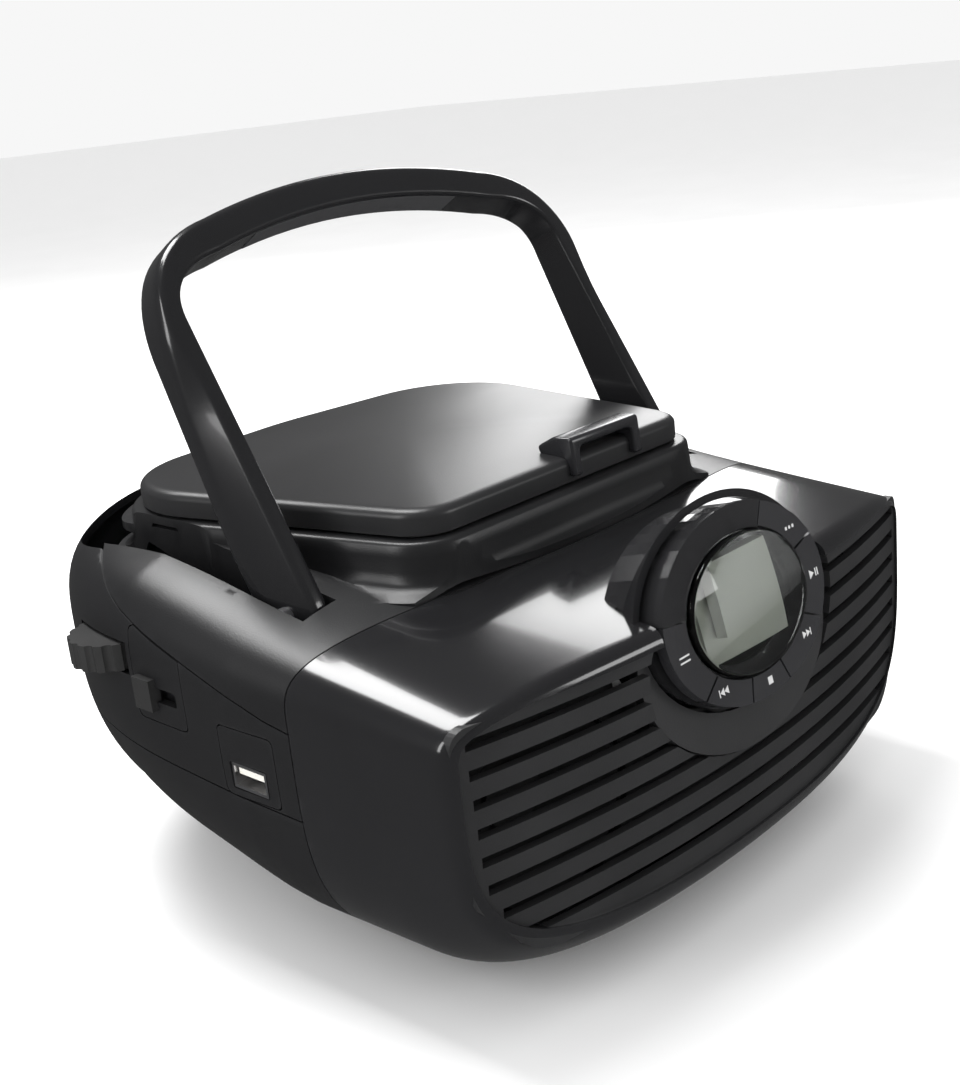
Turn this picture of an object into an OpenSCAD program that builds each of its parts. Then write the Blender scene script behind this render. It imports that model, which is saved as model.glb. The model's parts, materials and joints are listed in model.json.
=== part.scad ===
// Compact CD boombox: front bezel with louvred grille and a tilted oval control drum,
// top shell with a flared CD lid, swinging carry handle, side controls, feet and the works inside.
// Frame: +X to the right of a person facing the front, front towards -Y, +Z up,
// origin on the table under the middle of the cabinet. Millimetres.

/* [Cabinet] */
// Full width of the cabinet
body_w = 218; // [210:1:226]
// Level of the flat deck that the CD lid lies on
deck_z = 114; // [112:0.5:116]
// Distance of the bezel's foremost point in front of the origin
front_d = 109; // [107:0.5:111]
// Distance of the rear panel behind the origin
rear_d = 113.2; // [112:0.1:114]
// Moulded wall thickness
wall = 2.5; // [2:0.1:3]
// Radius of the front's curve, seen from above
bow_r = 400; // [380:5:430]
// Gap along the seams between the mouldings
seam_gap = 0.4; // [0.3:0.05:0.6]

/* [Grille] */
// Number of louvre slots
slot_count = 8; // [6:1:8]
// Distance from one louvre slot to the next
slot_pitch = 7.7; // [7.2:0.1:7.8]
// Height of one louvre slot
slot_h = 2.8; // [2:0.1:3.4]

/* [Control drum] */
// Half width of the drum's face
drum_a = 38; // [36:0.5:40]
// Half height of the drum's face
drum_b = 27; // [25:0.5:28]
// Backward lean of the drum's face
drum_tilt = 13; // [10:1:16]

/* [CD lid] */
// Half width of the lid along its front edge
lid_front_hw = 61; // [56:0.5:63]
// Half width of the lid at its widest, near the rear
lid_rear_hw = 77; // [72:0.5:77]
// Thickness of the lid at its edge
lid_h = 8; // [7:0.5:9]
// Diameter of the disc that the well has to hold
disc_d = 120; // [118:0.5:120.5]

/* [Handle] */
// Half width between the handle's legs
handle_in_hw = 79; // [78.6:0.1:79.2]
// Half width over the handle's legs
handle_out_hw = 88; // [87:0.5:88]
// Height from the pivot to the underside of the handle's arch
handle_reach = 110; // [109:0.5:111]
// Thickness of the handle's arch
handle_bar = 11; // [9:0.5:12]
// Backward lean of the raised handle
handle_lean = 30; // [28:1:32]
// Angle that the handle swings back to lie in its channel
handle_fold = 56; // [54:1:57]

/* [Controls] */
// Radius of the volume and tuning thumbwheels
wheel_r = 14; // [12:0.5:15]
// Radius of the earphone jack's bore
jack_r = 1.8; // [1.75:0.05:1.85]

/* [Hidden] */
$fn = 48;
eps = 0.01;
big = 400;

foot_h = 3;
belt_z = 78;                 // level where the cabinet is widest
seam_z = 100;                // top of the cabinet at the front seam
brow_z = 93;                 // top of the cabinet at the front edge
rear_top_z = 113;            // highest level of the top shell, near the rear
side_power = 4;              // squareness of the shoulders
foot_power = 4.2;            // squareness of the lower edge at the front
plan_power = 2.7;            // squareness of the rear corners, seen from above
plan_start = 8;              // where the sides start to curve in towards the rear
seam_y = -54;                // front seam at the middle of the cabinet
outline_step = 9;            // degrees between outline points
stations = [-front_d - 1, -96, -74, -44, 0, 36, 62, 82, 96, 106, rear_d];
body_hw = body_w / 2;

// ---- cabinet envelope -------------------------------------------------------------------------

// Fraction of the full width that the cabinet has at depth y
function plan_taper(y) =
    y <= plan_start ? 1 - 0.00035 * max(0, -y - 30) :
    let (t = min(1, (y - plan_start) / (rear_d + 4 - plan_start)))
    pow(1 - pow(t, plan_power), 1 / plan_power);
// How far the upper and lower edges pull in close to the rear panel
function rear_round(y) = y < 84 ? 0 : 1 - sqrt(max(0, 1 - pow((y - 84) / (rear_d + 3 - 84), 2)));
function top_z(y) =
    (y < seam_y ? brow_z + (seam_z - brow_z) * (y + front_d) / (seam_y + front_d)
                : min(rear_top_z, seam_z + 0.15 * (y - seam_y))) - 14 * rear_round(y);
// The underside sweeps up towards the rear and, more tightly, towards the front edge
function base_z(y) = foot_h + 0.02 * pow(max(0, -y - 80), 2)
    + (y < 40 ? 0 : 26 * (1 - sqrt(max(0, 1 - pow((y - 40) / 79, 2)))));
// Squareness of the lower edge at depth y: softer towards the rear
function low_power(y) = foot_power - 1.6 * min(1, max(0, (y + 40) / 90));
function blunt(v, power) = sign(v) * pow(abs(v), 2 / power);

// Closed outline of the cabinet's cross-section at depth y, pulled in by inset
function section_points(y, inset) = [
    for (a = [0 : outline_step : 359])
        let (power = a < 180 ? side_power : low_power(y),
             reach = (a < 180 ? top_z(y) - belt_z : belt_z - base_z(y)) - inset)
        [(body_hw * plan_taper(y) - inset) * blunt(cos(a), power), belt_z + reach * blunt(sin(a), power)]
];

module section_slab(y, inset)
    translate([0, y + eps, 0]) rotate([90, 0, 0]) linear_extrude(eps) polygon(section_points(y, inset));

// The cabinet's outer form, or its hollow when inset is the wall thickness
module envelope(inset = 0)
    for (i = [0 : len(stations) - 2])
        hull() {
            section_slab(max(stations[i], -front_d - 1 + inset), inset);
            section_slab(min(stations[i + 1], rear_d - inset), inset);
        }

// Everything behind a bowed surface whose foremost point is at depth y
module behind_bow(y, shift = 0)
    translate([0, y + bow_r, -1]) intersection() {
        cylinder(r = bow_r + shift, h = 160, $fn = 240);
        translate([-big / 2, -bow_r - 20, 0]) cube([big, 2 * big, 160]);
    }

module cabinet_shell()
    difference() {
        intersection() {
            envelope();
            behind_bow(-front_d);
        }
        intersection() {
            envelope(wall);
            behind_bow(-front_d + wall);
        }
    }

// Region above the side seam; lift moves the seam up for the parting gap
module above_side_seam(lift = 0)
    translate([big / 2, 0, lift]) rotate([90, 0, -90]) linear_extrude(big)
        polygon([[70, 71], [30, 78], [-52, 103], [-64, 106], [-86, 107], [-92, 125],
                 [-92, 200], [70, 200]]);

// Region below the lower side seam
module below_side_seam(lift = 0)
    translate([big / 2, 0, lift]) rotate([90, 0, -90]) linear_extrude(big)
        polygon([[70, 50], [-40, 55], [-rear_d - 40, 58], [-rear_d - 40, -10], [70, -10]]);

// ---- outlines ---------------------------------------------------------------------------------

function oval_points(a, b, from = 0, to = 360, step = 7.5) =
    [for (t = [from : step : to - (to - from >= 360 ? step : 0)]) [a * cos(t), b * sin(t)]];

module oval(a, b) polygon(oval_points(a, b));

// Shield outline of the grille, in x and z, pulled in by inset
module shield(inset = 0)
    hull() {
        for (s = [-1, 1]) {
            translate([s * (100 - inset), 84 - inset]) circle(r = 5, $fn = 32);
            translate([s * (98 - inset), 44]) circle(r = 5, $fn = 32);
            translate([s * 78, 40 + inset]) circle(r = 18, $fn = 32);
        }
    }

// The lid's plan is a flared trapezoid with round corners; grow widens it all round
module lid_plan(grow = 0)
    hull() {
        for (s = [-1, 1]) {
            translate([s * (lid_front_hw - 13), lid_front_y + 13]) circle(r = 13 + grow, $fn = 40);
            translate([s * (lid_rear_hw - 34), 47]) circle(r = 34 + grow, $fn = 48);
        }
        translate([0, lid_rear_y - 110]) intersection() {
            circle(r = 110 + grow, $fn = 96);
            translate([-50, 90]) square([100, 40]);
        }
    }

// ---- handle outline ---------------------------------------------------------------------------

handle_pivot = [0, -17.5, 97];
corner_v = 84;               // height where the legs start to bend
function bezier(a, b, c, t) = (1 - t) * (1 - t) * a + 2 * t * (1 - t) * b + t * t * c;
function arch_v(x, hw, top, sag) = top - sag * pow(x / hw, 2);
// Right-hand half of an arch path, from the foot of the leg to the middle of the bar
function arch_half(foot, foot_hw, hw, top, sag, bend, reach) =
    let (a = [hw, bend], c = [hw - reach, arch_v(hw - reach, hw, top, sag)],
         b = [hw, arch_v(hw, hw, top, sag) + sag * 0.25])
    concat([[foot_hw, foot]], [for (t = [0 : 0.125 : 1]) bezier(a, b, c, t)],
           [for (k = [1 : 5]) let (x = (hw - reach) * (1 - k / 5)) [x, arch_v(x, hw, top, sag)]]);
function mirror_x(points) = [for (i = [len(points) - 2 : -1 : 0]) [-points[i][0], points[i][1]]];
function arch_path(foot, foot_hw, hw, top, sag, bend, reach) =
    let (half = arch_half(foot, foot_hw, hw, top, sag, bend, reach)) concat(half, mirror_x(half));

module handle_outline(grow = 0)
    difference() {
        polygon(arch_path(-9 - grow, handle_out_hw + grow, handle_out_hw + grow - 1.5,
                          handle_reach + handle_bar + grow, 17, corner_v - 8, 30));
        polygon(arch_path(-12 - grow, handle_in_hw - grow, handle_in_hw - 0.6 - grow,
                          handle_reach - grow, 14, corner_v, 21));
    }

leg_depth = 19;              // front-to-back depth of a leg at its pivot
bar_depth = 12;              // front-to-back depth of the arch

module in_handle_plane(swing = 0)
    translate(handle_pivot) rotate([-handle_lean - swing, 0, 0]) children();

// The handle's bulk in its own plane, with its front face moved forward by reach_out
module handle_bulk(grow = 0, reach_out = 0)
    intersection() {
        rotate([90, 0, 0]) translate([0, 0, -2 * leg_depth]) linear_extrude(6 * leg_depth) handle_outline(grow);
        translate([-big / 2, 0, 0]) rotate([90, 0, 90]) linear_extrude(big)
            polygon([[-leg_depth / 2 - reach_out, -14], [leg_depth / 2 + grow, -14], [leg_depth / 2 + grow, 24],
                     [bar_depth - leg_depth / 2 + grow, 96], [bar_depth - leg_depth / 2 + grow, 140],
                     [-leg_depth / 2 - reach_out, 140]]);
    }

// The room that the folded handle lies in, open at the top
module handle_channel(grow = 1.5)
    in_handle_plane(handle_fold) handle_bulk(grow, 60);

module round_leg_ends()
    rotate([0, 90, 0]) cylinder(r = leg_depth / 2, h = big, center = true);

pin_r = 3;                   // radius of the handle's and the lid's pivot pins' bores
pin_clear = 0.06;            // radial running clearance of a pin in its bore

module handle()
    color([0.05, 0.05, 0.055]) in_handle_plane()
        difference() {
            intersection() {
                handle_bulk();
                union() {
                    round_leg_ends();
                    translate([-big / 2, -leg_depth / 2, 0]) cube([big, leg_depth, 140]);
                }
            }
            rotate([0, 90, 0]) cylinder(r = pin_r, h = big, center = true);
            for (s = [-1, 1]) leg_flare(s);
            grip_recess();
        }

leg_front_w = 5.2;           // width of a leg's front face; the outer face flares out to full width behind it
module leg_flare(side)
    scale([side, 1, 1]) translate([0, 0, -20]) linear_extrude(corner_v + 12)
        polygon([[handle_in_hw + leg_front_w, -leg_depth], [handle_in_hw + leg_front_w, -leg_depth / 2],
                 [handle_out_hw + 0.2, leg_depth / 2 - 6], [handle_out_hw + 9, -leg_depth / 2],
                 [handle_out_hw + 9, -leg_depth]]);

grip_hw = 42;
grip_t = 1.6;
// Room under the arch for the soft grip strip
module grip_recess()
    translate([0, -leg_depth / 2 + 1.5, 0]) rotate([-90, 0, 0]) linear_extrude(bar_depth - 3)
        mirror([0, 1]) grip_outline(grip_t);

module grip_outline(t)
    polygon(concat(
        [for (x = [-grip_hw : 7 : grip_hw]) [x, arch_v(x, handle_in_hw - 0.6, handle_reach, 14) - 0.2]],
        [for (x = [grip_hw : -7 : -grip_hw]) [x, arch_v(x, handle_in_hw - 0.6, handle_reach, 14) + t]]));

module handle_grip()
    color([0.16, 0.16, 0.17]) in_handle_plane()
        translate([0, -leg_depth / 2 + 1.7, 0]) rotate([-90, 0, 0]) linear_extrude(bar_depth - 3.4)
            mirror([0, 1]) grip_outline(grip_t - 0.1);

module handle_pivot_pins()
    color("silver") for (s = [-1, 1])
        translate([s * (handle_in_hw + 3.8), handle_pivot[1], handle_pivot[2]]) rotate([0, 90, 0])
            cylinder(r = pin_r - pin_clear, h = 14.4, center = true);

// ---- shells -----------------------------------------------------------------------------------

drum_centre = [0, -106.4, 88];
module on_drum() translate(drum_centre) rotate([90 - drum_tilt, 0, 0]) children();

// Raised brow that carries the top of the drum back to the seam
module drum_fairing(inset = 0)
    hull() {
        on_drum() translate([0, 0.5, -9]) linear_extrude(1) oval(drum_a + 4 - inset, drum_b + 3 - inset);
        translate([0, seam_y + 2, 84]) rotate([90, 0, 0]) linear_extrude(1) oval(30 - inset, 14 - inset);
    }

module front_bezel()
    color([0.03, 0.03, 0.035]) difference() {
        union() {
            cabinet_shell();
            difference() {
                drum_fairing();
                drum_fairing(wall);
                envelope(wall);
            }
        }
        behind_bow(seam_y - seam_gap);
        translate([0, 0, 0]) rotate([90, 0, 0]) linear_extrude(big) shield();
        on_drum() translate([0, 0, -26]) linear_extrude(60) oval(drum_a + 1, drum_b + 1);
    }

// Grille plate that follows the front's curve, with level louvre slots
module grille()
    color([0.13, 0.13, 0.14]) difference() {
        intersection() {
            translate([0, -front_d + bow_r + 1.2, 0]) difference() {
                cylinder(r = bow_r, h = 130, $fn = 240);
                translate([0, 0, -1]) cylinder(r = bow_r - 2.4, h = 132, $fn = 240);
            }
            rotate([90, 0, 0]) linear_extrude(big) shield(0.4);
        }
        for (i = [0 : slot_count - 1])
            translate([-slot_half(i), -big, 84 - i * slot_pitch - slot_h / 2]) cube([2 * slot_half(i), big, slot_h]);
        on_drum() translate([0, -ring_drop, -30]) linear_extrude(60) oval(ring_a + 0.4, ring_b + 0.4);
        translate([0, -ring_drop, 0]) on_drum() translate([0, 0, -30]) linear_extrude(60)
            oval(drum_a + 4, drum_b + 2);
    }
// Half length of louvre slot i: full at the top, shorter where the shield's lower corners turn in
// The slots stay a rim short of the shield's edge, which draws in towards its foot
function slot_half(i) = 100.5 - 0.3 * i - 1.25 * pow(max(0, i - 4.3), 2);

ring_drop = 9;               // the surround's centre is this far below the drum's
ring_back = 6.5;             // and its face this far behind
ring_a = 43.6;
ring_b = 30.6;

// Flat oval collar round the drum; its top runs under the bezel's brow
module control_surround()
    color([0.12, 0.12, 0.13]) difference() {
        on_drum() translate([0, -ring_drop, -ring_back - 3]) linear_extrude(3) oval(ring_a, ring_b);
        on_drum() translate([0, 0, -30]) linear_extrude(60) oval(drum_a + 1.2, drum_b + 1.2);
        translate([0, 0.6, 0]) drum_fairing(-0.5);
        translate([-big / 2, -big, 90.5]) cube([big, big, 60]);
    }

button_t = 3.2;
lens_a = 27;
lens_b = 19;
// Sectors of the drum's face, counter-clockwise as seen from the front; the first is the fixed arc
sector_ends = [57, 172, 214, 252, 292, 335, 375, 417];
module sector(from, to, reach = 90)
    polygon(concat([[0, 0]], [for (t = [from : (to - from) / 6 : to + eps]) [reach * cos(t), reach * sin(t)]]));

module face_ring(outer_gap, inner_gap)
    difference() {
        oval(drum_a - outer_gap, drum_b - outer_gap);
        oval(lens_a + inner_gap, lens_b + inner_gap);
    }

// Fixed part of the drum: its wall, its floor and the blank arc at the top of its face
module control_drum()
    color([0.05, 0.05, 0.055]) on_drum() {
        translate([0, 0, -20]) linear_extrude(20 - 5.6) difference() {
            oval(drum_a, drum_b);
            oval(drum_a - 1.6, drum_b - 1.6);
        }
        translate([0, 0, -7.4]) linear_extrude(1.8) difference() {
            oval(drum_a, drum_b);
            oval(21, 15);
        }
        translate([0, 0, -5.8]) linear_extrude(5.8) intersection() {
            face_ring(0, 0.6);
            sector(sector_ends[0], sector_ends[1]);
        }
    }

module drum_button(i)
    color([0.04, 0.04, 0.045]) on_drum() {
        translate([0, 0, -button_t]) linear_extrude(button_t) offset(delta = -0.35) intersection() {
            face_ring(0, 0.6);
            sector(sector_ends[i], sector_ends[i + 1]);
        }
        mid = (sector_ends[i] + sector_ends[i + 1]) / 2;
        translate([31 * cos(mid), 22 * sin(mid), -button_t - 1]) cylinder(r = 2, h = 1.5);
    }

module button_repeat() drum_button(1);
module button_skip_back() drum_button(2);
module button_stop() drum_button(3);
module button_skip_forward() drum_button(4);
module button_play() drum_button(5);
module button_mode() drum_button(6);

module display_lens()
    color([0.2, 0.2, 0.21, 0.5]) on_drum() {
        hull() {
            translate([0, 0, 0.6]) linear_extrude(1.2) oval(lens_a, lens_b);
            translate([0, 0.5, 3]) linear_extrude(0.6) oval(lens_a - 5, lens_b - 4);
        }
        translate([0, 0, -5.6]) linear_extrude(6.3) difference() {
            oval(lens_a, lens_b);
            oval(lens_a - 1.4, lens_b - 1.4);
        }
    }

module lcd_panel()
    color([0.62, 0.64, 0.58]) on_drum() {
        translate([0, 4.5, -2.4]) cube([26, 20, 2.4], center = true);
        translate([0, 0, -4.9]) cube([34, 24, 1.4], center = true);
    }

// ---- top, middle and bottom mouldings ---------------------------------------------------------

lid_front_y = -47;
lid_rear_y = 84.5;
deck_grow = 5;               // the raised deck stands out this far beyond the lid

module deck_block(drop = 0)
    intersection() {
        translate([0, 0, 92 - drop]) linear_extrude(deck_z - 92) lid_plan(deck_grow - drop);
        behind_bow(seam_y + 0.3);
    }

well_centre_y = 18;
well_r = disc_d / 2 + 1;

module top_shell()
    color([0.09, 0.09, 0.095]) difference() {
        union() {
            intersection() {
                cabinet_shell();
                above_side_seam(seam_gap);
            }
            difference() {
                deck_block();
                deck_block(wall);
            }
            intersection() {
                in_handle_plane(handle_fold) handle_bulk(3.3, 60);
                union() {
                    envelope(wall + 0.3);
                    deck_block();
                }
            }
            hinge_cheeks();
        }
        difference() {
            translate([0, 0, -1]) cube([big, big, big], center = true);
            behind_bow(seam_y);
        }
        handle_channel();
        translate([0, 0, 80]) linear_extrude(60) lid_plan(-2.5);
        for (s = [-1, 1]) translate([s * (handle_in_hw + 3.8), handle_pivot[1], handle_pivot[2]])
            rotate([0, 90, 0]) cylinder(r = pin_r - pin_clear + 0.03, h = 14.8, center = true);
        hinge_notches();
        for (s = [-1, 1]) translate([s * hinge_x, hinge_y, hinge_z]) rotate([0, 90, 0])
            cylinder(r = hinge_r - pin_clear + 0.03, h = 21.2, center = true);
    }

hinge_x = 20;
hinge_y = 86;
hinge_z = 112.5;
hinge_r = 1.5;
hinge_w = 14;
module hinge_notches()
    for (s = [-1, 1]) translate([s * hinge_x, hinge_y - 0.3, hinge_z]) cube([hinge_w + 1, 8.4, 10], center = true);
// Ears that hold the ends of the hinge pins
module hinge_cheeks()
    for (s = [-1, 1], e = [-1, 1]) translate([s * hinge_x + e * (hinge_w / 2 + 2), hinge_y - 0.5, hinge_z - 1.5])
        cube([3, 5.6, 6], center = true);

module side_cutouts() {
    for (s = [-1, 1])
        translate([s * (wheel_x + 4), wheel_y, wheel_z]) cube([26, 2 * wheel_r + 2, wheel_t + 1.4], center = true);
    translate([-body_hw, panel_y, panel_z]) cube([14, panel_l + 0.6, panel_h + 0.6], center = true);
    translate([-body_hw, usb_y, usb_z]) cube([14, 22.6, 20.6], center = true);
    for (s = [[inlet_x, 26, 18], [jack_x, 12, 12]])
        translate([s[0], rear_d - 3, rear_z]) cube([s[1], 20, s[2]], center = true);
    translate([antenna_x, rear_d - 8, antenna_z]) rotate([-90, 0, 0]) cylinder(r = 2.2, h = 16);
}

// Posts inside the middle moulding that take the case screws
module screw_posts()
    screw_places() difference() {
        translate([0, 0, 26.2]) cylinder(r = 5, h = 36);
        translate([0, 0, 20]) cylinder(r = 1.5, h = 20);
    }
module post_ribs()
    for (s = [-1, 1], y = post_y) translate([s * (body_hw * plan_taper(y) - 17), y, 58])
        cube([36, 2, 8], center = true);

// Cradle on the rear wall that the folded antenna rests in, open upwards so that it can swing out
module antenna_cradle()
    difference() {
        translate([cradle_x - 3, rear_d - 2, antenna_z - tube_r[0] - 2.3])
            cube([6, antenna_y - rear_d + tube_r[0] + 3.8, tube_r[0] + 3.7]);
        hull() for (z = [0, 20]) translate([cradle_x, antenna_y, antenna_z + z]) rotate([0, 90, 0])
            cylinder(r = tube_r[0] + 0.3, h = 20, center = true);
    }

module middle_shell()
    color([0.08, 0.08, 0.085]) difference() {
        union() {
            cabinet_shell();
            antenna_cradle();
            intersection() {
                envelope(0.3);
                union() {
                    post_ribs();
                    screw_posts();
                }
            }
        }
        difference() {
            translate([0, 0, -1]) cube([big, big, big], center = true);
            behind_bow(seam_y);
        }
        above_side_seam();
        below_side_seam(seam_gap);
        side_cutouts();
        translate([0, 0, 90]) linear_extrude(60) lid_plan(deck_grow + 1);
        handle_channel(3.6);
    }

post_y = [-34, 38];
module screw_places()
    for (s = [-1, 1], y = post_y) translate([s * (body_hw * plan_taper(y) - 36), y, 0]) children();

module bottom_shell()
    color([0.07, 0.07, 0.075]) difference() {
        union() {
            intersection() {
                cabinet_shell();
                behind_bow(seam_y);
                below_side_seam();
            }
            intersection() {
                envelope(0.5);
                union() {
                    screw_places() cylinder(r = 5, h = 26);
                    battery_box();
                    board_posts();
                }
            }
        }
        translate([0, bay_y, 0]) cube([bay_w + 1, bay_d + 2.4, 14], center = true);
        foot_places() {
            translate([0, 0, -1]) cylinder(r = 2.8, h = 12);
            translate([0, 0, -1]) cylinder(r = 7.2, h = 6.5);
        }
        screw_places() {
            cylinder(r = 3.4, h = 17);
            cylinder(r = 1.7, h = 40);
        }
    }

// Open box over the battery door that the cells sit in
module battery_box()
    translate([-bay_w / 2 - 2, bay_y - bay_d / 2 - 3, 3]) difference() {
        cube([bay_w + 4, bay_d + 6, 35]);
        translate([2, 2, -1]) cube([bay_w, bay_d + 2, 34]);
    }
module board_posts()
    for (x = [-40, 40], y = [38, 86]) translate([x, y, 4]) cylinder(r = 3, h = 62);

// ---- CD lid -----------------------------------------------------------------------------------

lid_z = deck_z + 0.5;

module cd_lid()
    color([0.1, 0.1, 0.105]) difference() {
        union() {
            difference() {
                hull() {
                    translate([0, 0, lid_z]) linear_extrude(lid_h - 2) lid_plan();
                    translate([0, 0, lid_z + lid_h - 0.5]) linear_extrude(0.5) lid_plan(-4);
                    translate([0, 22, lid_z + lid_h + 1.5]) cylinder(r = 30, h = 0.5);
                }
                translate([0, 0, lid_z - 1]) linear_extrude(lid_h - 1.2) lid_plan(-2.2);
            }
            for (s = [-1, 1]) translate([s * hinge_x, hinge_y, hinge_z]) rotate([0, 90, 0])
                cylinder(r = 3.4, h = hinge_w, center = true);
            for (s = [-1, 1]) translate([s * hinge_x, hinge_y - 3, hinge_z + 4.1])
                cube([hinge_w, 6, 3.8], center = true);
        }
        translate([0, hinge_y, hinge_z]) rotate([0, 90, 0]) cylinder(r = hinge_r, h = 120, center = true);
    }

grip_x = 16;                 // the hood sits to the right of the middle
module lid_grip()
    color([0.04, 0.04, 0.045]) translate([grip_x, lid_front_y, lid_z]) difference() {
        hull() {
            translate([-16, -2.6, 2]) cube([32, 2, 11]);
            translate([-15, 9, 9]) cube([30, 2, 4.5]);
        }
        translate([-12.5, -4, 1]) cube([25, 7, 9]);
        translate([0, 48, 2]) cube([60, 96.2, 16.6], center = true);
    }

module lid_hinge_pins()
    color("silver") for (s = [-1, 1])
        translate([s * hinge_x, hinge_y, hinge_z]) rotate([0, 90, 0])
            cylinder(r = hinge_r - pin_clear, h = 20.8, center = true);

// Tongue under the lid's front edge; the window in it is what the catch holds
module lid_latch()
    color([0.3, 0.3, 0.3]) translate([grip_x, lid_front_y + 4.4, lid_z - 9]) difference() {
        translate([-6, 0, 0]) cube([12, 2, 9 + lid_h - 2.2]);
        translate([-3.5, -1, 2]) cube([7, 4, 4]);
    }

// ---- side controls ----------------------------------------------------------------------------

wheel_x = 101.5;
wheel_y = 44;
wheel_z = 83.5;
wheel_t = 8;
flutes = 16;
module thumbwheel(side)
    translate([side * wheel_x, wheel_y, wheel_z]) difference() {
        cylinder(r = wheel_r, h = wheel_t, center = true);
        for (i = [0 : flutes - 1]) rotate(360 / flutes * i) translate([wheel_r + 1.2, 0, 0])
            cylinder(r = 2, h = wheel_t + 1, center = true);
        cylinder(r = 3, h = wheel_t + 1, center = true);
    }

// Control body under a thumbwheel, with the shaft that the wheel turns on
module wheel_control(side)
    translate([side * wheel_x, wheel_y, wheel_z]) {
        translate([0, 0, -wheel_t / 2 - 0.6]) cylinder(r = 3 - pin_clear, h = wheel_t + 1.2);
        translate([-side * 9.6, 0, -wheel_t / 2 - 4.4]) cube([16, 14, 7.8], center = true);
    }

module volume_wheel() color([0.05, 0.05, 0.05]) thumbwheel(-1);
module tuning_wheel() color([0.05, 0.05, 0.05]) thumbwheel(1);
module volume_control() color([0.3, 0.32, 0.34]) wheel_control(-1);
module tuning_control() color([0.3, 0.32, 0.34]) wheel_control(1);

panel_y = 15.5;
panel_z = 80.5;
panel_l = 23;
panel_h = 27;
slot_z = 75.5;
module function_panel()
    color([0.07, 0.07, 0.075]) difference() {
        translate([-body_hw + 0.7, panel_y, panel_z]) cube([2.4, panel_l, panel_h], center = true);
        translate([-body_hw, panel_y, slot_z]) cube([8, panel_l - 3, 10], center = true);
        above_side_seam(-0.1);
    }
module function_slider()
    color([0.04, 0.04, 0.04]) translate([-body_hw, panel_y + 5.2, slot_z]) {
        translate([-0.2, 0, 0]) cube([3.6, 8, 9.4], center = true);
        translate([4.2, 0, 0]) cube([7, 3, 3], center = true);
    }
module function_switch()
    color([0.6, 0.6, 0.62]) translate([-body_hw + 10, panel_y, slot_z]) difference() {
        cube([9, panel_l, 12], center = true);
        translate([-4, 0, 0]) cube([6.4, panel_l - 4, 3.6], center = true);
    }

usb_y = -21;
usb_z = 63;
module usb_panel()
    color([0.07, 0.07, 0.075]) difference() {
        translate([-body_hw + 0.7, usb_y, usb_z]) cube([2.4, 22, 20], center = true);
        translate([-body_hw, usb_y + 0.5, usb_z - 4]) cube([8, 15.5, 8.5], center = true);
    }
module usb_socket()
    color("silver") translate([-body_hw + 7.5, usb_y + 0.5, usb_z - 4]) difference() {
        cube([14, 14.4, 7.4], center = true);
        translate([-1, 0, 0]) cube([14, 12.6, 5.6], center = true);
    }
module usb_tongue()
    color([0.9, 0.9, 0.88]) translate([-body_hw + 7.5, usb_y + 0.5, usb_z - 2.9])
        cube([12, 11, 1.8], center = true);

// ---- CD mechanism -----------------------------------------------------------------------------

well_floor_z = 102;
module cd_well()
    color([0.06, 0.06, 0.065]) difference() {
        union() {
            translate([0, 0, deck_z - 4.5]) linear_extrude(2.5) lid_plan(-2.8);
            translate([0, well_centre_y, well_floor_z])
                cylinder(r = well_r + 1.2, h = deck_z - 2 - well_floor_z, $fn = 96);
            damper_places() translate([0, 0, chassis_z + 5.5]) cylinder(r = 4, h = deck_z - 2 - chassis_z - 6);
        }
        translate([0, well_centre_y, well_floor_z + 1.5]) cylinder(r = well_r, h = 20, $fn = 96);
        translate([0, well_centre_y, well_floor_z - 1]) cylinder(r = 15.5, h = 10);
        translate([-6, well_centre_y - 60, well_floor_z - 1]) cube([12, 56, 10]);
        translate([grip_x - 7, lid_front_y + 3, 80]) cube([14, 4.6, 60]);
        hinge_notches();
    }

chassis_z = 92;
chassis_hole_x = 29;
module damper_places()
    for (x = [-chassis_hole_x, chassis_hole_x], y = [-40, 34]) translate([x, y, 0]) children();
sled_x = 24;
sled_y = -19;
rod_x = 13;
module cd_chassis()
    color([0.25, 0.26, 0.27]) difference() {
        union() {
            translate([-34, -47.6, chassis_z]) cube([68, 87.6, 2.5]);
            for (y = [-44.2, 1.4]) translate([-16, y, chassis_z]) cube([32, 1.8, 9]);
        }
        translate([0, well_centre_y, chassis_z - 1]) cylinder(r = 8, h = 5);
        translate([-8, -46, chassis_z - 1]) cube([16, 46, 5]);
        damper_places() translate([0, 0, chassis_z - 1]) cylinder(r = 3, h = 5);
        translate([sled_x, sled_y, chassis_z - 1]) cylinder(r = 3, h = 5);
        for (x = [-rod_x, rod_x]) translate([x, -23, chassis_z + 6.6]) rotate([90, 0, 0])
            cylinder(r = 1.45, h = 56, center = true);
    }
module spindle_motor()
    color("silver") translate([0, well_centre_y, chassis_z - 10]) {
        cylinder(r = 12, h = 9.8);
        cylinder(r = 1, h = 24);
    }
module turntable()
    color([0.15, 0.15, 0.16]) translate([0, well_centre_y, well_floor_z]) difference() {
        union() {
            translate([0, 0, -3]) cylinder(r = 14.5, h = 5);
            cylinder(r = 7.4, h = 6);
            translate([0, 0, 6]) cylinder(r1 = 7.4, r2 = 5, h = 1.6);
        }
        translate([0, 0, -4]) cylinder(r = 1.06, h = 14);
    }
pickup_y = -5;
rack_gap = 6;                // distance from the sled gear's axis to the rack's pitch line
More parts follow.
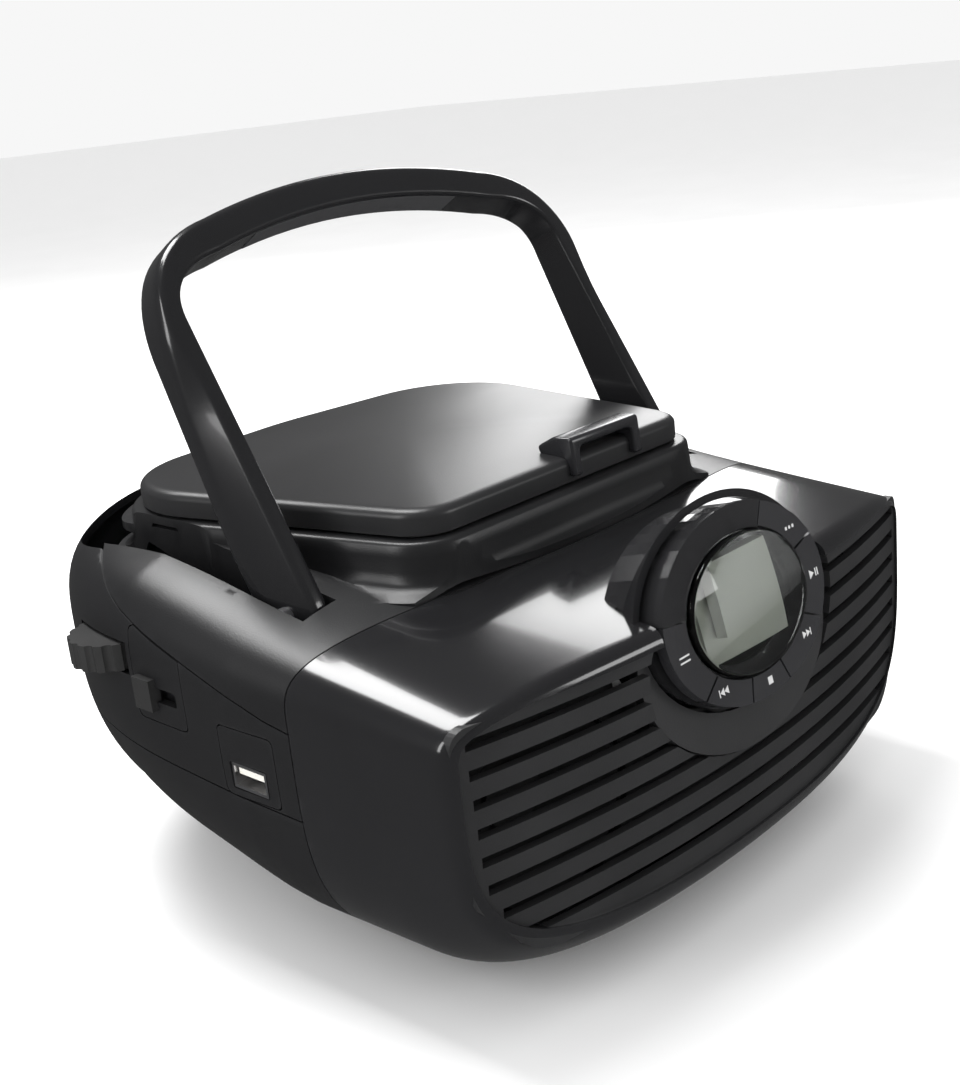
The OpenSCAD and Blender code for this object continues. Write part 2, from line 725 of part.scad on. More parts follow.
module laser_pickup()
    color([0.12, 0.12, 0.14]) translate([0, pickup_y, chassis_z + 3.6]) difference() {
        union() {
            translate([-16, -6, 0]) cube([32, 12, 5.4]);
            translate([0, 0, 5]) cylinder(r = 4, h = 3.6);
            translate([sled_x - rack_gap - 2, -14.5, 0.4]) cube([2, 29, 2.4]);
        }
        for (x = [-rod_x, rod_x]) translate([x, 0, 3]) rotate([90, 0, 0]) cylinder(r = 1.5, h = 30, center = true);
        for (y = [-13.5 : 1.8 : 13.5]) translate([sled_x - rack_gap, y, -1]) cylinder(r = 0.5, h = 5, $fn = 16);
    }
module guide_rods()
    color("silver") for (x = [-rod_x, rod_x])
        translate([x, -20.7, chassis_z + 6.6]) rotate([90, 0, 0]) cylinder(r = 1.4, h = 46.6, center = true);
module sled_gear()
    color([0.85, 0.84, 0.8]) translate([sled_x, sled_y, chassis_z + 3.8]) difference() {
        cylinder(r = rack_gap - 0.1, h = 2.6);
        for (i = [0 : 19]) rotate(18 * i) translate([rack_gap, 0, -1]) cylinder(r = 0.5, h = 5, $fn = 16);
        translate([0, 0, -1]) cylinder(r = 1.06, h = 5);
    }
module sled_motor()
    color("silver") translate([sled_x, sled_y, chassis_z - 12]) {
        cylinder(r = 8, h = 11.9);
        cylinder(r = 2.6, h = 15.2);
        cylinder(r = 1, h = 18.4);
    }
module chassis_dampers()
    color([0.1, 0.1, 0.1]) damper_places() translate([0, 0, chassis_z - 3]) {
        cylinder(r = 2.9, h = 8.4);
        cylinder(r = 5, h = 2.9);
        translate([0, 0, 5.7]) cylinder(r = 5, h = 2.7);
    }

// ---- speakers ---------------------------------------------------------------------------------

speaker_x = 68;
speaker_z = 51;
speaker_y = -85.6;
speaker_r = 31;
module at_speakers()
    for (s = [-1, 1]) translate([s * speaker_x, speaker_y, speaker_z]) rotate([90, 0, s * 8]) children();
// Perforated board behind the grille that the speakers are screwed to
module speaker_baffle()
    color([0.03, 0.03, 0.03]) difference() {
        intersection() {
            translate([0, -front_d + bow_r + 13, 0]) difference() {
                cylinder(r = bow_r, h = 130, $fn = 240);
                translate([0, 0, -1]) cylinder(r = bow_r - 2, h = 132, $fn = 240);
            }
            rotate([90, 0, 0]) linear_extrude(big) shield(0.5);
        }
        on_drum() translate([0, -4, -60]) linear_extrude(80) oval(ring_a + 1, ring_b + 5);
        at_speakers() {
            translate([0, 0, -10]) cylinder(r = speaker_r - 4, h = 40);
            translate([0, 0, -1.6]) cylinder(r = speaker_r + 0.4, h = 4);
        }
    }
module speaker_baskets()
    color([0.35, 0.36, 0.37]) at_speakers() rotate_extrude()
        polygon([[speaker_r, 0], [speaker_r, -1.4], [speaker_r - 5, -1.4], [14, -18], [8, -18], [8, -16.6],
                 [13.4, -16.6], [speaker_r - 6, 0]]);
module speaker_cones()
    color([0.08, 0.08, 0.08]) at_speakers() {
        rotate_extrude() polygon([[speaker_r - 6.4, 1], [speaker_r - 5, 2.2], [speaker_r - 3.4, 0.2],
                                  [speaker_r - 6.2, 0.2], [9, -13], [9, -12]]);
        translate([0, 0, -13]) cylinder(r = 9.2, h = 3);
    }
module speaker_magnets()
    color([0.2, 0.2, 0.21]) at_speakers() {
        translate([0, 0, -30]) cylinder(r = 17, h = 11.8);
        translate([0, 0, -19]) cylinder(r = 6, h = 5.6);
    }
module speaker_screws()
    color("silver") at_speakers() for (a = [45 : 90 : 315])
        rotate(a) translate([speaker_r - 1.7, 0, 0.2]) cylinder(r = 1.4, h = 1.6);

// ---- electronics ------------------------------------------------------------------------------

module main_board()
    color([0.1, 0.3, 0.15]) {
        translate([-45, 34, 66]) cube([90, 56, 1.6]);
        translate([-30, 50, 67.6]) cube([14, 14, 2.4]);
        for (x = [8, 22, 36]) translate([x, 78, 67.6]) cylinder(r = 4, h = 11);
        translate([-38, 72, 67.6]) cube([28, 5, 16]);
    }
module control_board()
    color([0.1, 0.3, 0.15]) on_drum() translate([0, 0, -18]) linear_extrude(1.6) oval(drum_a - 2.2, drum_b - 2.2);
module power_transformer()
    color([0.45, 0.42, 0.36]) translate([2, 48, 13]) {
        cube([28, 28, 30]);
        translate([-5, 6, 6]) cube([38, 16, 18]);
    }

rear_z = 68;
inlet_x = -20;
jack_x = 8;
module mains_inlet()
    color([0.05, 0.05, 0.05]) translate([inlet_x, rear_d - 10, rear_z]) difference() {
        union() {
            translate([-12.5, 0, -8.5]) cube([25, 9, 17]);
            translate([-9, -10, -5]) cube([18, 10 + eps, 10]);
        }
        for (s = [-1, 1]) translate([s * 4, 9 - 12, 0]) rotate([-90, 0, 0]) cylinder(r = 3.6, h = 14);
        translate([-4, -3, -3.6]) cube([8, 14, 7.2]);
    }
module earphone_jack()
    color([0.05, 0.05, 0.05]) translate([jack_x, rear_d + 0.5, rear_z]) rotate([90, 0, 0]) difference() {
        union() {
            cylinder(r = 5.5, h = 5);
            translate([-5, -4, 4]) cube([10, 8, 12]);
        }
        translate([0, 0, -1]) cylinder(r = jack_r, h = 15);
    }

// ---- antenna ----------------------------------------------------------------------------------

antenna_x = 44;
antenna_y = rear_d + 3.6;
antenna_z = 88;
cradle_x = -30;
tube_r = [3, 2.2, 1.4];
tube_gap = 0.08;
tube_l = 86;
module antenna_mount()
    color("silver") translate([antenna_x, antenna_y, antenna_z]) rotate([-90, 0, 0]) {
        translate([0, 0, -10]) cylinder(r = 5, h = 3.6);
        translate([0, 0, -10]) cylinder(r = 2, h = 14);
        translate([0, 0, 3.4]) cylinder(r = 3.2, h = 1);
    }
module antenna_outer_tube()
    color([0.75, 0.75, 0.77]) translate([antenna_x, antenna_y, antenna_z]) difference() {
        union() {
            translate([0, -3.2, 0]) rotate([-90, 0, 0]) cylinder(r = 4.4, h = 6.4);
            rotate([0, -90, 0]) cylinder(r = tube_r[0], h = tube_l);
        }
        translate([0, -6, 0]) rotate([-90, 0, 0]) cylinder(r = 2 + pin_clear, h = 12);
        translate([-6, 0, 0]) rotate([0, -90, 0]) cylinder(r = tube_r[1] + tube_gap, h = tube_l);
    }
module antenna_middle_tube()
    color([0.78, 0.78, 0.8]) translate([antenna_x - 8, antenna_y, antenna_z]) difference() {
        rotate([0, -90, 0]) cylinder(r = tube_r[1], h = tube_l - 6);
        translate([-2, 0, 0]) rotate([0, -90, 0]) cylinder(r = tube_r[2] + tube_gap, h = tube_l);
    }
module antenna_tip_rod()
    color([0.8, 0.8, 0.82]) translate([antenna_x - 12, antenna_y, antenna_z]) rotate([0, -90, 0]) {
        cylinder(r = tube_r[2], h = tube_l - 9);
        translate([0, 0, tube_l - 9.5]) cylinder(r = 3, h = 4.5);
    }

// ---- battery bay, feet and fasteners ----------------------------------------------------------

bay_y = 10;
bay_w = 96;
bay_d = 62;
module battery_door()
    color([0.07, 0.07, 0.075]) translate([0, bay_y, foot_h - 0.1]) difference() {
        union() {
            translate([-bay_w / 2, -bay_d / 2 - 0.6, 0]) cube([bay_w, bay_d + 0.6, 2.5]);
            translate([0, bay_d / 2, 1.3]) rotate([0, 90, 0]) cylinder(r = 1.1, h = bay_w, center = true);
        }
        for (i = [0 : 5]) translate([-16, -bay_d / 2 + 4 + i * 2.4, -1]) cube([32, 1, 1.6]);
    }
module battery_contacts()
    color("silver") for (s = [-1, 1], y = [-14, 14])
        translate([s * (bay_w / 2 - 1), bay_y + y, 20]) {
            cube([0.8, 20, 16], center = true);
            translate([-s * 0.4, 0, 0]) rotate([0, -s * 90, 0]) cylinder(r1 = 6, r2 = 3, h = s * y < 0 ? 6 : 2);
        }
module foot_places() {
    for (x = [-62, 62]) translate([x, -38, 0]) children();
    for (x = [-30, 30]) translate([x, 56, 0]) children();
}
module rubber_feet()
    color([0.05, 0.05, 0.05]) foot_places() {
        cylinder(r = 7, h = 5.4);
        cylinder(r = 2.75, h = 9);
    }
module case_screws()
    color("silver") screw_places() {
        translate([0, 0, 14.4]) cylinder(r = 3.2, h = 2.5);
        translate([0, 0, 16]) cylinder(r = 1.5, h = 22);
    }

// ---- output -----------------------------------------------------------------------------------

front_bezel();
grille();
control_surround();
control_drum();
button_repeat();
button_skip_back();
button_stop();
button_skip_forward();
button_play();
button_mode();
display_lens();
lcd_panel();
top_shell();
middle_shell();
bottom_shell();
cd_lid();
lid_grip();
lid_hinge_pins();
lid_latch();
handle();
handle_grip();
handle_pivot_pins();
volume_wheel();
volume_control();
tuning_wheel();
tuning_control();
function_panel();
function_slider();
function_switch();
usb_panel();
usb_socket();
usb_tongue();
cd_well();
cd_chassis();
spindle_motor();
turntable();
laser_pickup();
guide_rods();
sled_gear();
sled_motor();
chassis_dampers();
speaker_baffle();
speaker_baskets();
speaker_cones();
speaker_magnets();
speaker_screws();
main_board();
control_board();
power_transformer();
mains_inlet();
earphone_jack();
antenna_mount();
antenna_outer_tube();
antenna_middle_tube();
antenna_tip_rod();
battery_door();
battery_contacts();
rubber_feet();
case_screws();
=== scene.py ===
"""Looks of the compact CD boombox: smooth mouldings, materials, light and camera over the CAD frame."""
import json
import math

import bmesh
import bpy
import numpy as np
from mathutils import Matrix, Vector


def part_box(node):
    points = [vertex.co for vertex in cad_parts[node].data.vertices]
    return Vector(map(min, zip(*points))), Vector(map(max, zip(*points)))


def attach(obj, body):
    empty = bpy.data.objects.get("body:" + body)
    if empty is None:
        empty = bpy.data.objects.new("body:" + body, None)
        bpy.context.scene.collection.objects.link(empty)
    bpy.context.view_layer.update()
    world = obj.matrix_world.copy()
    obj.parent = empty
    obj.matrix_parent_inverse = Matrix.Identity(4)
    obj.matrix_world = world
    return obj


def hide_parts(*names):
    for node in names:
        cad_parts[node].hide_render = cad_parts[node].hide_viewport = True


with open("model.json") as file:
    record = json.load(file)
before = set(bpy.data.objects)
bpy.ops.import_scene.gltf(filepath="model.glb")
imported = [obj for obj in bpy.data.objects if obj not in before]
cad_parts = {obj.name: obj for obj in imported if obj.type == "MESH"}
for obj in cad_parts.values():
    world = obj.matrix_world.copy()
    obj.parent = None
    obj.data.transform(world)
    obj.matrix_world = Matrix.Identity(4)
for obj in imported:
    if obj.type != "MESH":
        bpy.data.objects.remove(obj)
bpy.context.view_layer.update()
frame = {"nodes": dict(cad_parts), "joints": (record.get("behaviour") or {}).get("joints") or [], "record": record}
MM = 0.001


# ---- sizes, in millimetres, read from the frame where it holds them ----------------------------

def box_mm(node):
    """Lowest and highest corners of a CAD node, in millimetres."""
    low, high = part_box(node)
    return np.array(low) / MM, np.array(high) / MM


def joint(name):
    """The record's entry for a joint."""
    return next(j for j in frame["joints"] if j["name"] == name)


BODY_HW = box_mm("middle_shell")[1][0]
REAR_D = box_mm("antenna_outer_tube")[0][1] - 0.4
FRONT_D = -box_mm("front_bezel")[0][1]
FOOT_H = box_mm("bottom_shell")[0][2]
DECK_Z = box_mm("top_shell")[1][2]
BOW_R = 400.0
CRADLE_X = -30.0
WALL = 2.5
BELT_Z = 78.0
SEAM_Y = -54.0
SEAM_Z = 100.0
BROW_Z = 93.0
REAR_TOP_Z = 113.0
SEAM_GAP = 0.5
LID_FRONT_Y = box_mm("lid_grip")[0][1] + 2.6
LID_REAR_Y = 84.5
LID_FRONT_HW = 61.0
LID_REAR_HW = box_mm("cd_lid")[1][0]
LID_Z = DECK_Z + 0.5
LID_H = 8.0
HANDLE_PIVOT = np.array(joint("handle_tilt")["pos_m"]) / MM
HANDLE_LEAN = 30.0
HANDLE_FOLD = joint("handle_tilt")["range_deg"][1]
HANDLE_IN = 79.0
HANDLE_OUT = box_mm("handle")[1][0]
HANDLE_REACH = 110.0
HANDLE_BAR = 11.0
LEG_DEPTH = 19.0
BAR_DEPTH = 12.0
LEG_FRONT_W = 5.2
CORNER_V = 84.0
DRUM_CENTRE = np.array([0.0, -106.4, 88.0])
DRUM_TILT = 13.0
DRUM_A = box_mm("control_drum")[1][0]
DRUM_B = 27.0
LENS_A = box_mm("display_lens")[1][0]
LENS_B = 19.0
BROW_FACE = -6.0


# ---- small mesh tools --------------------------------------------------------------------------

def make_object(name, vertices, faces, smooth_angle=32.0):
    """A mesh object from points in millimetres, shaded smooth except at sharp edges."""
    mesh = bpy.data.meshes.new(name)
    mesh.from_pydata([tuple(float(c) * MM for c in v) for v in vertices], [], faces)
    mesh.validate()
    bm = bmesh.new()
    bm.from_mesh(mesh)
    bmesh.ops.remove_doubles(bm, verts=bm.verts, dist=1e-6)
    bmesh.ops.recalc_face_normals(bm, faces=bm.faces)
    bm.to_mesh(mesh)
    bm.free()
    obj = bpy.data.objects.new(name, mesh)
    bpy.context.scene.collection.objects.link(obj)
    shade(obj, smooth_angle)
    return obj


def shade(obj, smooth_angle=32.0):
    """Smooth shading that keeps edges sharper than smooth_angle crisp."""
    obj.data.shade_smooth()
    obj.data.set_sharp_from_angle(angle=math.radians(smooth_angle))


def loft(name, loops, closed=True, cap=True, smooth_angle=32.0):
    """A skin over a list of equal loops of points; cap closes the two ends."""
    count = len(loops[0])
    vertices = [p for loop in loops for p in loop]
    faces = []
    for k in range(len(loops) - 1):
        for i in range(count if closed else count - 1):
            j = (i + 1) % count
            faces.append((k * count + i, k * count + j, (k + 1) * count + j, (k + 1) * count + i))
    if cap:
        faces.append(tuple(range(count - 1, -1, -1)))
        faces.append(tuple((len(loops) - 1) * count + i for i in range(count)))
    return make_object(name, vertices, faces, smooth_angle)


def prism(name, outline, low, high, axis=2, place=None):
    """A straight solid over a flat outline. axis is the direction of extrusion; place moves each point."""
    def point(u, v, w):
        p = {2: (u, v, w), 1: (u, w, v), 0: (w, u, v)}[axis]
        return place(p) if place else p
    return loft(name, [[point(u, v, low) for u, v in outline], [point(u, v, high) for u, v in outline]])


def combine(obj, other, operation="DIFFERENCE", keep=False):
    """obj becomes the result of a boolean with other, which is then thrown away unless keep is true."""
    modifier = obj.modifiers.new("combine", "BOOLEAN")
    modifier.operation = operation
    modifier.object = other
    modifier.solver = "MANIFOLD"
    bake(obj)
    if not keep:
        bpy.data.objects.remove(other, do_unlink=True)
    return obj


def bake(obj):
    """The object's mesh with its modifiers applied."""
    graph = bpy.context.evaluated_depsgraph_get()
    graph.update()
    mesh = bpy.data.meshes.new_from_object(obj.evaluated_get(graph))
    obj.modifiers.clear()
    obj.data = mesh
    return obj


def copy_of(obj, name):
    """A second object with its own copy of the mesh."""
    twin = obj.copy()
    twin.data = obj.data.copy()
    twin.name = name
    bpy.context.scene.collection.objects.link(twin)
    return twin


def bevel(obj, width, segments=2, angle=35.0):
    """Rounds the sharp edges of an object with a modifier."""
    modifier = obj.modifiers.new("rounded_edges", "BEVEL")
    modifier.width = width * MM
    modifier.segments = segments
    modifier.limit_method = "ANGLE"
    modifier.angle_limit = math.radians(angle)
    modifier.use_clamp_overlap = True
    modifier.harden_normals = False
    return obj


def smooth_max(a, b, radius):
    """The larger of two values, with a fillet of about the given radius where they cross."""
    h = np.clip(0.5 + 0.5 * (a - b) / radius, 0, 1)
    return b + (a - b) * h + radius * h * (1 - h)


# ---- outlines ----------------------------------------------------------------------------------

def oval(a, b, count=96):
    """Points of an oval."""
    turn = np.linspace(0, 2 * math.pi, count, endpoint=False)
    return [(a * math.cos(t), b * math.sin(t)) for t in turn]


def resample(points, count):
    """count points spaced evenly along a closed outline."""
    pts = np.array(points + [points[0]])
    run = np.concatenate([[0], np.cumsum(np.linalg.norm(np.diff(pts, axis=0), axis=1))])
    where = np.linspace(0, run[-1], count, endpoint=False)
    return [(float(np.interp(w, run, pts[:, 0])), float(np.interp(w, run, pts[:, 1]))) for w in where]


def hull_of_circles(circles, count=720):
    """Outline of the tightest band round some circles. Each is (x, y, radius, limit): limit is how far its
    own arc may turn away from straight back, or None."""
    points = []
    for t in np.linspace(0, 2 * math.pi, count, endpoint=False):
        normal = np.array([math.cos(t), math.sin(t)])
        best = None
        for x, y, radius, limit in circles:
            turn = abs(math.degrees(math.atan2(normal[0], normal[1])))
            if limit is not None and turn > limit:
                continue
            support = x * normal[0] + y * normal[1] + radius
            if best is None or support > best[0]:
                best = (support, x + radius * normal[0], y + radius * normal[1])
        points.append((best[1], best[2]))
    return points


def lid_outline(grow=0.0, count=200):
    """Flared plan of the CD lid, widened all round by grow."""
    circles = []
    for side in (-1, 1):
        circles.append((side * (LID_FRONT_HW - 13), LID_FRONT_Y + 13, 13 + grow, None))
        circles.append((side * (LID_REAR_HW - 34), 47, 34 + grow, None))
    circles.append((0, LID_REAR_Y - 110, 110 + grow, 27))
    return resample(hull_of_circles(circles), count)


def shield_outline(inset=0.0, count=220):
    """Outline of the grille, in x and z."""
    circles = []
    for side in (-1, 1):
        circles.append((side * (100 - inset), 84 - inset, 5, None))
        circles.append((side * (98 - inset), 44, 5, None))
        circles.append((side * 78, 40 + inset, 18, None))
    return resample(hull_of_circles(circles), count)


def distance_outside(points, outline):
    """Signed distance of points from an outline, positive outside."""
    p = np.asarray(points, float)
    a = np.array(outline)
    b = np.roll(a, -1, axis=0)
    edge = b - a
    best = np.full(len(p), 1e9)
    inside = np.zeros(len(p), bool)
    for k in range(len(a)):
        rel = p - a[k]
        t = np.clip((rel @ edge[k]) / (edge[k] @ edge[k]), 0, 1)
        gap = np.linalg.norm(rel - t[:, None] * edge[k], axis=1)
        best = np.minimum(best, gap)
        crosses = (a[k][1] > p[:, 1]) != (b[k][1] > p[:, 1])
        with np.errstate(divide="ignore", invalid="ignore"):
            at = a[k][0] + (p[:, 1] - a[k][1]) / (b[k][1] - a[k][1]) * edge[k][0]
        inside ^= crosses & (p[:, 0] < at)
    return np.where(inside, -best, best)


# ---- cabinet form ------------------------------------------------------------------------------

def plan_taper(y):
    """Fraction of the full width that the cabinet has at depth y."""
    if y <= 8:
        return 1 - 0.00035 * max(0, -y - 30)
    t = min(1, (y - 8) / (REAR_D + 4 - 8))
    return (1 - t ** 2.7) ** (1 / 2.7)


def rear_round(y):
    return 0 if y < 84 else 1 - math.sqrt(max(0, 1 - ((y - 84) / (REAR_D + 3 - 84)) ** 2))


def top_z(y):
    if y < SEAM_Y:
        level = BROW_Z + (SEAM_Z - BROW_Z) * (y + FRONT_D) / (SEAM_Y + FRONT_D)
    else:
        level = min(REAR_TOP_Z, SEAM_Z + 0.15 * (y - SEAM_Y))
    return level - 14 * rear_round(y)


def base_z(y):
    sweep = 0 if y < 40 else 26 * (1 - math.sqrt(max(0, 1 - ((y - 40) / 79) ** 2)))
    return FOOT_H + 0.02 * max(0, -y - 80) ** 2 + sweep


def low_power(y):
    return 4.2 - 1.6 * min(1, max(0, (y + 40) / 90))


def blunt(v, power):
    return math.copysign(abs(v) ** (2 / power), v)


def bow(x):
    """How far the front's curve falls back at x."""
    return BOW_R - math.sqrt(BOW_R ** 2 - x ** 2)


RING = 240          # points round each cross-section
EDGE_R = 4.0        # rounding of the front and rear edges


def section(y, inset, turn):
    """Point of the cabinet's cross-section at depth y, pulled in by inset, in x and z."""
    power = 4 if turn < math.pi else low_power(y)
    reach = (top_z(y) - BELT_Z if turn < math.pi else BELT_Z - base_z(y)) - inset
    width = BODY_HW * plan_taper(y) - inset
    return width * blunt(math.cos(turn), power), BELT_Z + reach * blunt(math.sin(turn), power)


def ring_turns():
    """Angles round a cross-section, spaced so that the points are even along it."""
    fine = np.linspace(0, 2 * math.pi, 4000, endpoint=False)
    pts = np.array([section(0, 0, t) for t in fine])
    step = np.linalg.norm(np.diff(np.vstack([pts, pts[:1]]), axis=0), axis=1)
    run = np.concatenate([[0], np.cumsum(step)])
    return [float(np.interp(w, run[:-1], fine)) for w in np.linspace(0, run[-1], RING, endpoint=False)]


def cabinet(name, shrink=0.0):
    """The closed outer form of the cabinet, pulled in by shrink."""
    turns = ring_turns()
    loops = []
    front = -FRONT_D + shrink
    rear = REAR_D - shrink

    def ring(depth, inset, squeeze=1.0):
        follow = min(1, max(0, (20 - depth) / 60))
        follow = follow * follow * (3 - 2 * follow)
        points = []
        for turn in turns:
            x, z = section(depth, inset + shrink, turn)
            x, z = x * squeeze, BELT_Z + (z - BELT_Z) * squeeze
            points.append((x, depth + follow * bow(x), z))
        loops.append(points)

    quarter = [math.radians(a) for a in np.linspace(0, 90, 8)]
    shrinking = (0.85, 0.6, 0.3, 0.03)
    for squeeze in reversed(shrinking):
        ring(front, EDGE_R, squeeze)
    for angle in quarter:
        ring(front + EDGE_R * (1 - math.cos(angle)), EDGE_R * (1 - math.sin(angle)))
    for depth in np.arange(front + EDGE_R + 1.5, rear - EDGE_R - 1, 2.0):
        ring(depth, 0)
    for angle in quarter:
        ring(rear - EDGE_R * (1 - math.sin(angle)), EDGE_R * (1 - math.cos(angle)))
    for squeeze in shrinking:
        ring(rear, EDGE_R, squeeze)
    return loft(name, loops, smooth_angle=40)


# How far the deck's flank stands out from the lid at each height, from its top edge to its foot
DECK_FLANK = [(2.0, DECK_Z), (3.0, DECK_Z - 0.3), (3.6, DECK_Z - 1.1), (3.9, DECK_Z - 4), (4.2, DECK_Z - 8),
              (4.8, DECK_Z - 10.4), (6.0, DECK_Z - 11.8), (8.0, DECK_Z - 12.8), (11.0, DECK_Z - 14), (11.0, 92)]


def deck_ring(name):
    """Raised deck round the opening under the lid, with a concave foot to its flank."""
    underside = [(8.6, 92), (8.2, DECK_Z - 15), (2.2, DECK_Z - 12), (1.2, DECK_Z - 8), (0.6, DECK_Z - 2.6)]
    profile = [(-2.5, DECK_Z - 2.6), (-2.5, DECK_Z)] + DECK_FLANK + underside
    loops = [[(x, y, z) for x, y in lid_outline(grow)] for grow, z in profile]
    loops.append(loops[0])
    return loft(name, loops, cap=False, smooth_angle=50)


def brow(name, inset=0.0):
    """Tapering hood that carries the top of the drum back into the bezel."""
    front = [on_drum((x, y + 0.5, BROW_FACE)) for x, y in oval(DRUM_A + 4 - inset, DRUM_B + 3 - inset)]
    back = [(x, SEAM_Y - 14, 84 + z) for x, z in oval(33 - inset, 12 - inset)]
    loops = []
    for t in np.linspace(0, 1, 14):
        drop = 1 - (1 - t) ** 1.7
        loops.append([(a[0] + (b[0] - a[0]) * drop, a[1] + (b[1] - a[1]) * t, a[2] + (b[2] - a[2]) * drop)
                      for a, b in zip(front, back)])
    return loft(name, loops, smooth_angle=50)


# ---- regions that split the cabinet into mouldings ---------------------------------------------

def bow_region(name, y, behind=True):
    """A big block whose front or back is the bowed surface at depth y."""
    xs = np.linspace(-130, 130, 53)
    edge = [(x, y + bow(x)) for x in xs]
    far = 300 if behind else -300
    return prism(name, edge + [(130, far), (-130, far)], -20, 160)


def side_region(name, profile, above=True):
    """A block above or below a profile of (y, z) points seen from the side."""
    far = 260 if above else -40
    return prism(name, profile + [(profile[-1][0], far), (profile[0][0], far)], -200, 200, axis=0)


UPPER_SEAM = [(-160, 55.0), (-70, 71.0), (-30, 78.0), (20, 92.6), (52, 103.0), (64, 106.0), (82, 107.2), (88, 112.0),
              (92, 125.0), (93, 180.0), (94, 180.0)]
LOWER_SEAM = [(-160, 46.0), (-70, 50.0), (40, 55.0), (160, 58.5)]


def shifted(profile, amount):
    return [(y, z + amount) for y, z in profile]


# ---- handle ------------------------------------------------------------------------------------

def arch_v(x, hw, top, sag):
    return top - sag * (x / hw) ** 2


def arch_half(foot, foot_hw, hw, top, sag, bend, reach):
    """Right-hand half of an arch, from the foot of the leg to the middle of the bar."""
    a = np.array([hw, bend])
    c = np.array([hw - reach, arch_v(hw - reach, hw, top, sag)])
    b = np.array([hw, arch_v(hw, hw, top, sag) + sag * 0.25])
    steps = np.linspace(0, 1, 17)
    leg = [np.array([foot_hw + (hw - foot_hw) * k, foot + (bend - foot) * k]) for k in np.linspace(0, 0.95, 16)]
    turn = [(1 - t) ** 2 * a + 2 * t * (1 - t) * b + t * t * c for t in steps]
    bar = [np.array([(hw - reach) * (1 - k), arch_v((hw - reach) * (1 - k), hw, top, sag)])
           for k in np.linspace(0.1, 1, 10)]
    return leg + turn + bar


def mirrored(half):
    return half + [np.array([-p[0], p[1]]) for p in half[-2::-1]]


def handle_outline(grow=0.0):
    """Closed outline of the handle in its own plane."""
    outer = mirrored(arch_half(-9 - grow, HANDLE_OUT + grow, HANDLE_OUT + grow - 1.5, HANDLE_REACH + HANDLE_BAR + grow,
                               17, CORNER_V - 8, 30))
    inner = mirrored(arch_half(-9 - grow, HANDLE_IN - grow, HANDLE_IN - 0.6 - grow, HANDLE_REACH - grow, 14,
                               CORNER_V, 21))
    return [tuple(p) for p in outer] + [tuple(p) for p in reversed(inner)]


def in_handle_plane(swing=0.0):
    """Moves (x, depth, v) of the handle's own plane to the cabinet's frame."""
    tilt = Matrix.Rotation(-math.radians(HANDLE_LEAN + swing), 3, "X")

    def place(p):
        return tuple(np.array(tilt @ Vector(p)) + HANDLE_PIVOT)
    return place


def folded_room(name, grow):
    """The room that the folded handle lies in, open at the top."""
    room = prism(name, handle_outline(grow), -70, 40, axis=1)
    depth = [(-70, -14), (LEG_DEPTH / 2 + grow, -14), (LEG_DEPTH / 2 + grow, 24),
             (BAR_DEPTH - LEG_DEPTH / 2 + grow, 96), (BAR_DEPTH - LEG_DEPTH / 2 + grow, 150), (-70, 150)]
    combine(room, prism(name + "_depth", depth, -200, 200, axis=0), "INTERSECT")
    place = in_handle_plane(HANDLE_FOLD)
    for vertex in room.data.vertices:
        vertex.co = Vector(place(np.array(vertex.co) / MM)) * MM
    return room


def rounded(polygon, radius, steps=5):
    """A polygon with every corner turned into a short curve of the same number of points."""
    points = []
    count = len(polygon)
    for k in range(count):
        corner = np.array(polygon[k], float)
        arms = []
        for other in (polygon[k - 1], polygon[(k + 1) % count]):
            arm = np.array(other, float) - corner
            length = max(1e-6, np.linalg.norm(arm))
            arms.append(corner + arm / length * min(radius, 0.45 * length))
        for t in np.linspace(0, 1, steps):
            points.append(tuple((1 - t) ** 2 * arms[0] + 2 * t * (1 - t) * corner + t * t * arms[1]))
    return points


def handle_side(foot_hw, hw, top, sag, bend, reach):
    """Half of one edge of the handle: a round foot, the leg, the corner's turn and half the bar."""
    foot = LEG_DEPTH / 2
    rise = [-foot * math.cos(math.radians(a)) for a in np.linspace(6, 90, 10)]
    rise += list(np.linspace(0, bend, 22)[1:-1])
    leg = [np.array([foot_hw + (hw - foot_hw) * (v + foot) / (bend + foot), v]) for v in rise]
    a = np.array([hw, bend])
    b = np.array([hw, arch_v(hw, hw, top, sag) + sag * 0.25])
    c = np.array([hw - reach, arch_v(hw - reach, hw, top, sag)])
    turn = [(1 - t) ** 2 * a + 2 * t * (1 - t) * b + t * t * c for t in np.linspace(0, 1, 19)]
    bar = [np.array([c[0] * (1 - k), arch_v(c[0] * (1 - k), hw, top, sag)]) for k in np.linspace(0.08, 1, 12)]
    return leg + turn + bar


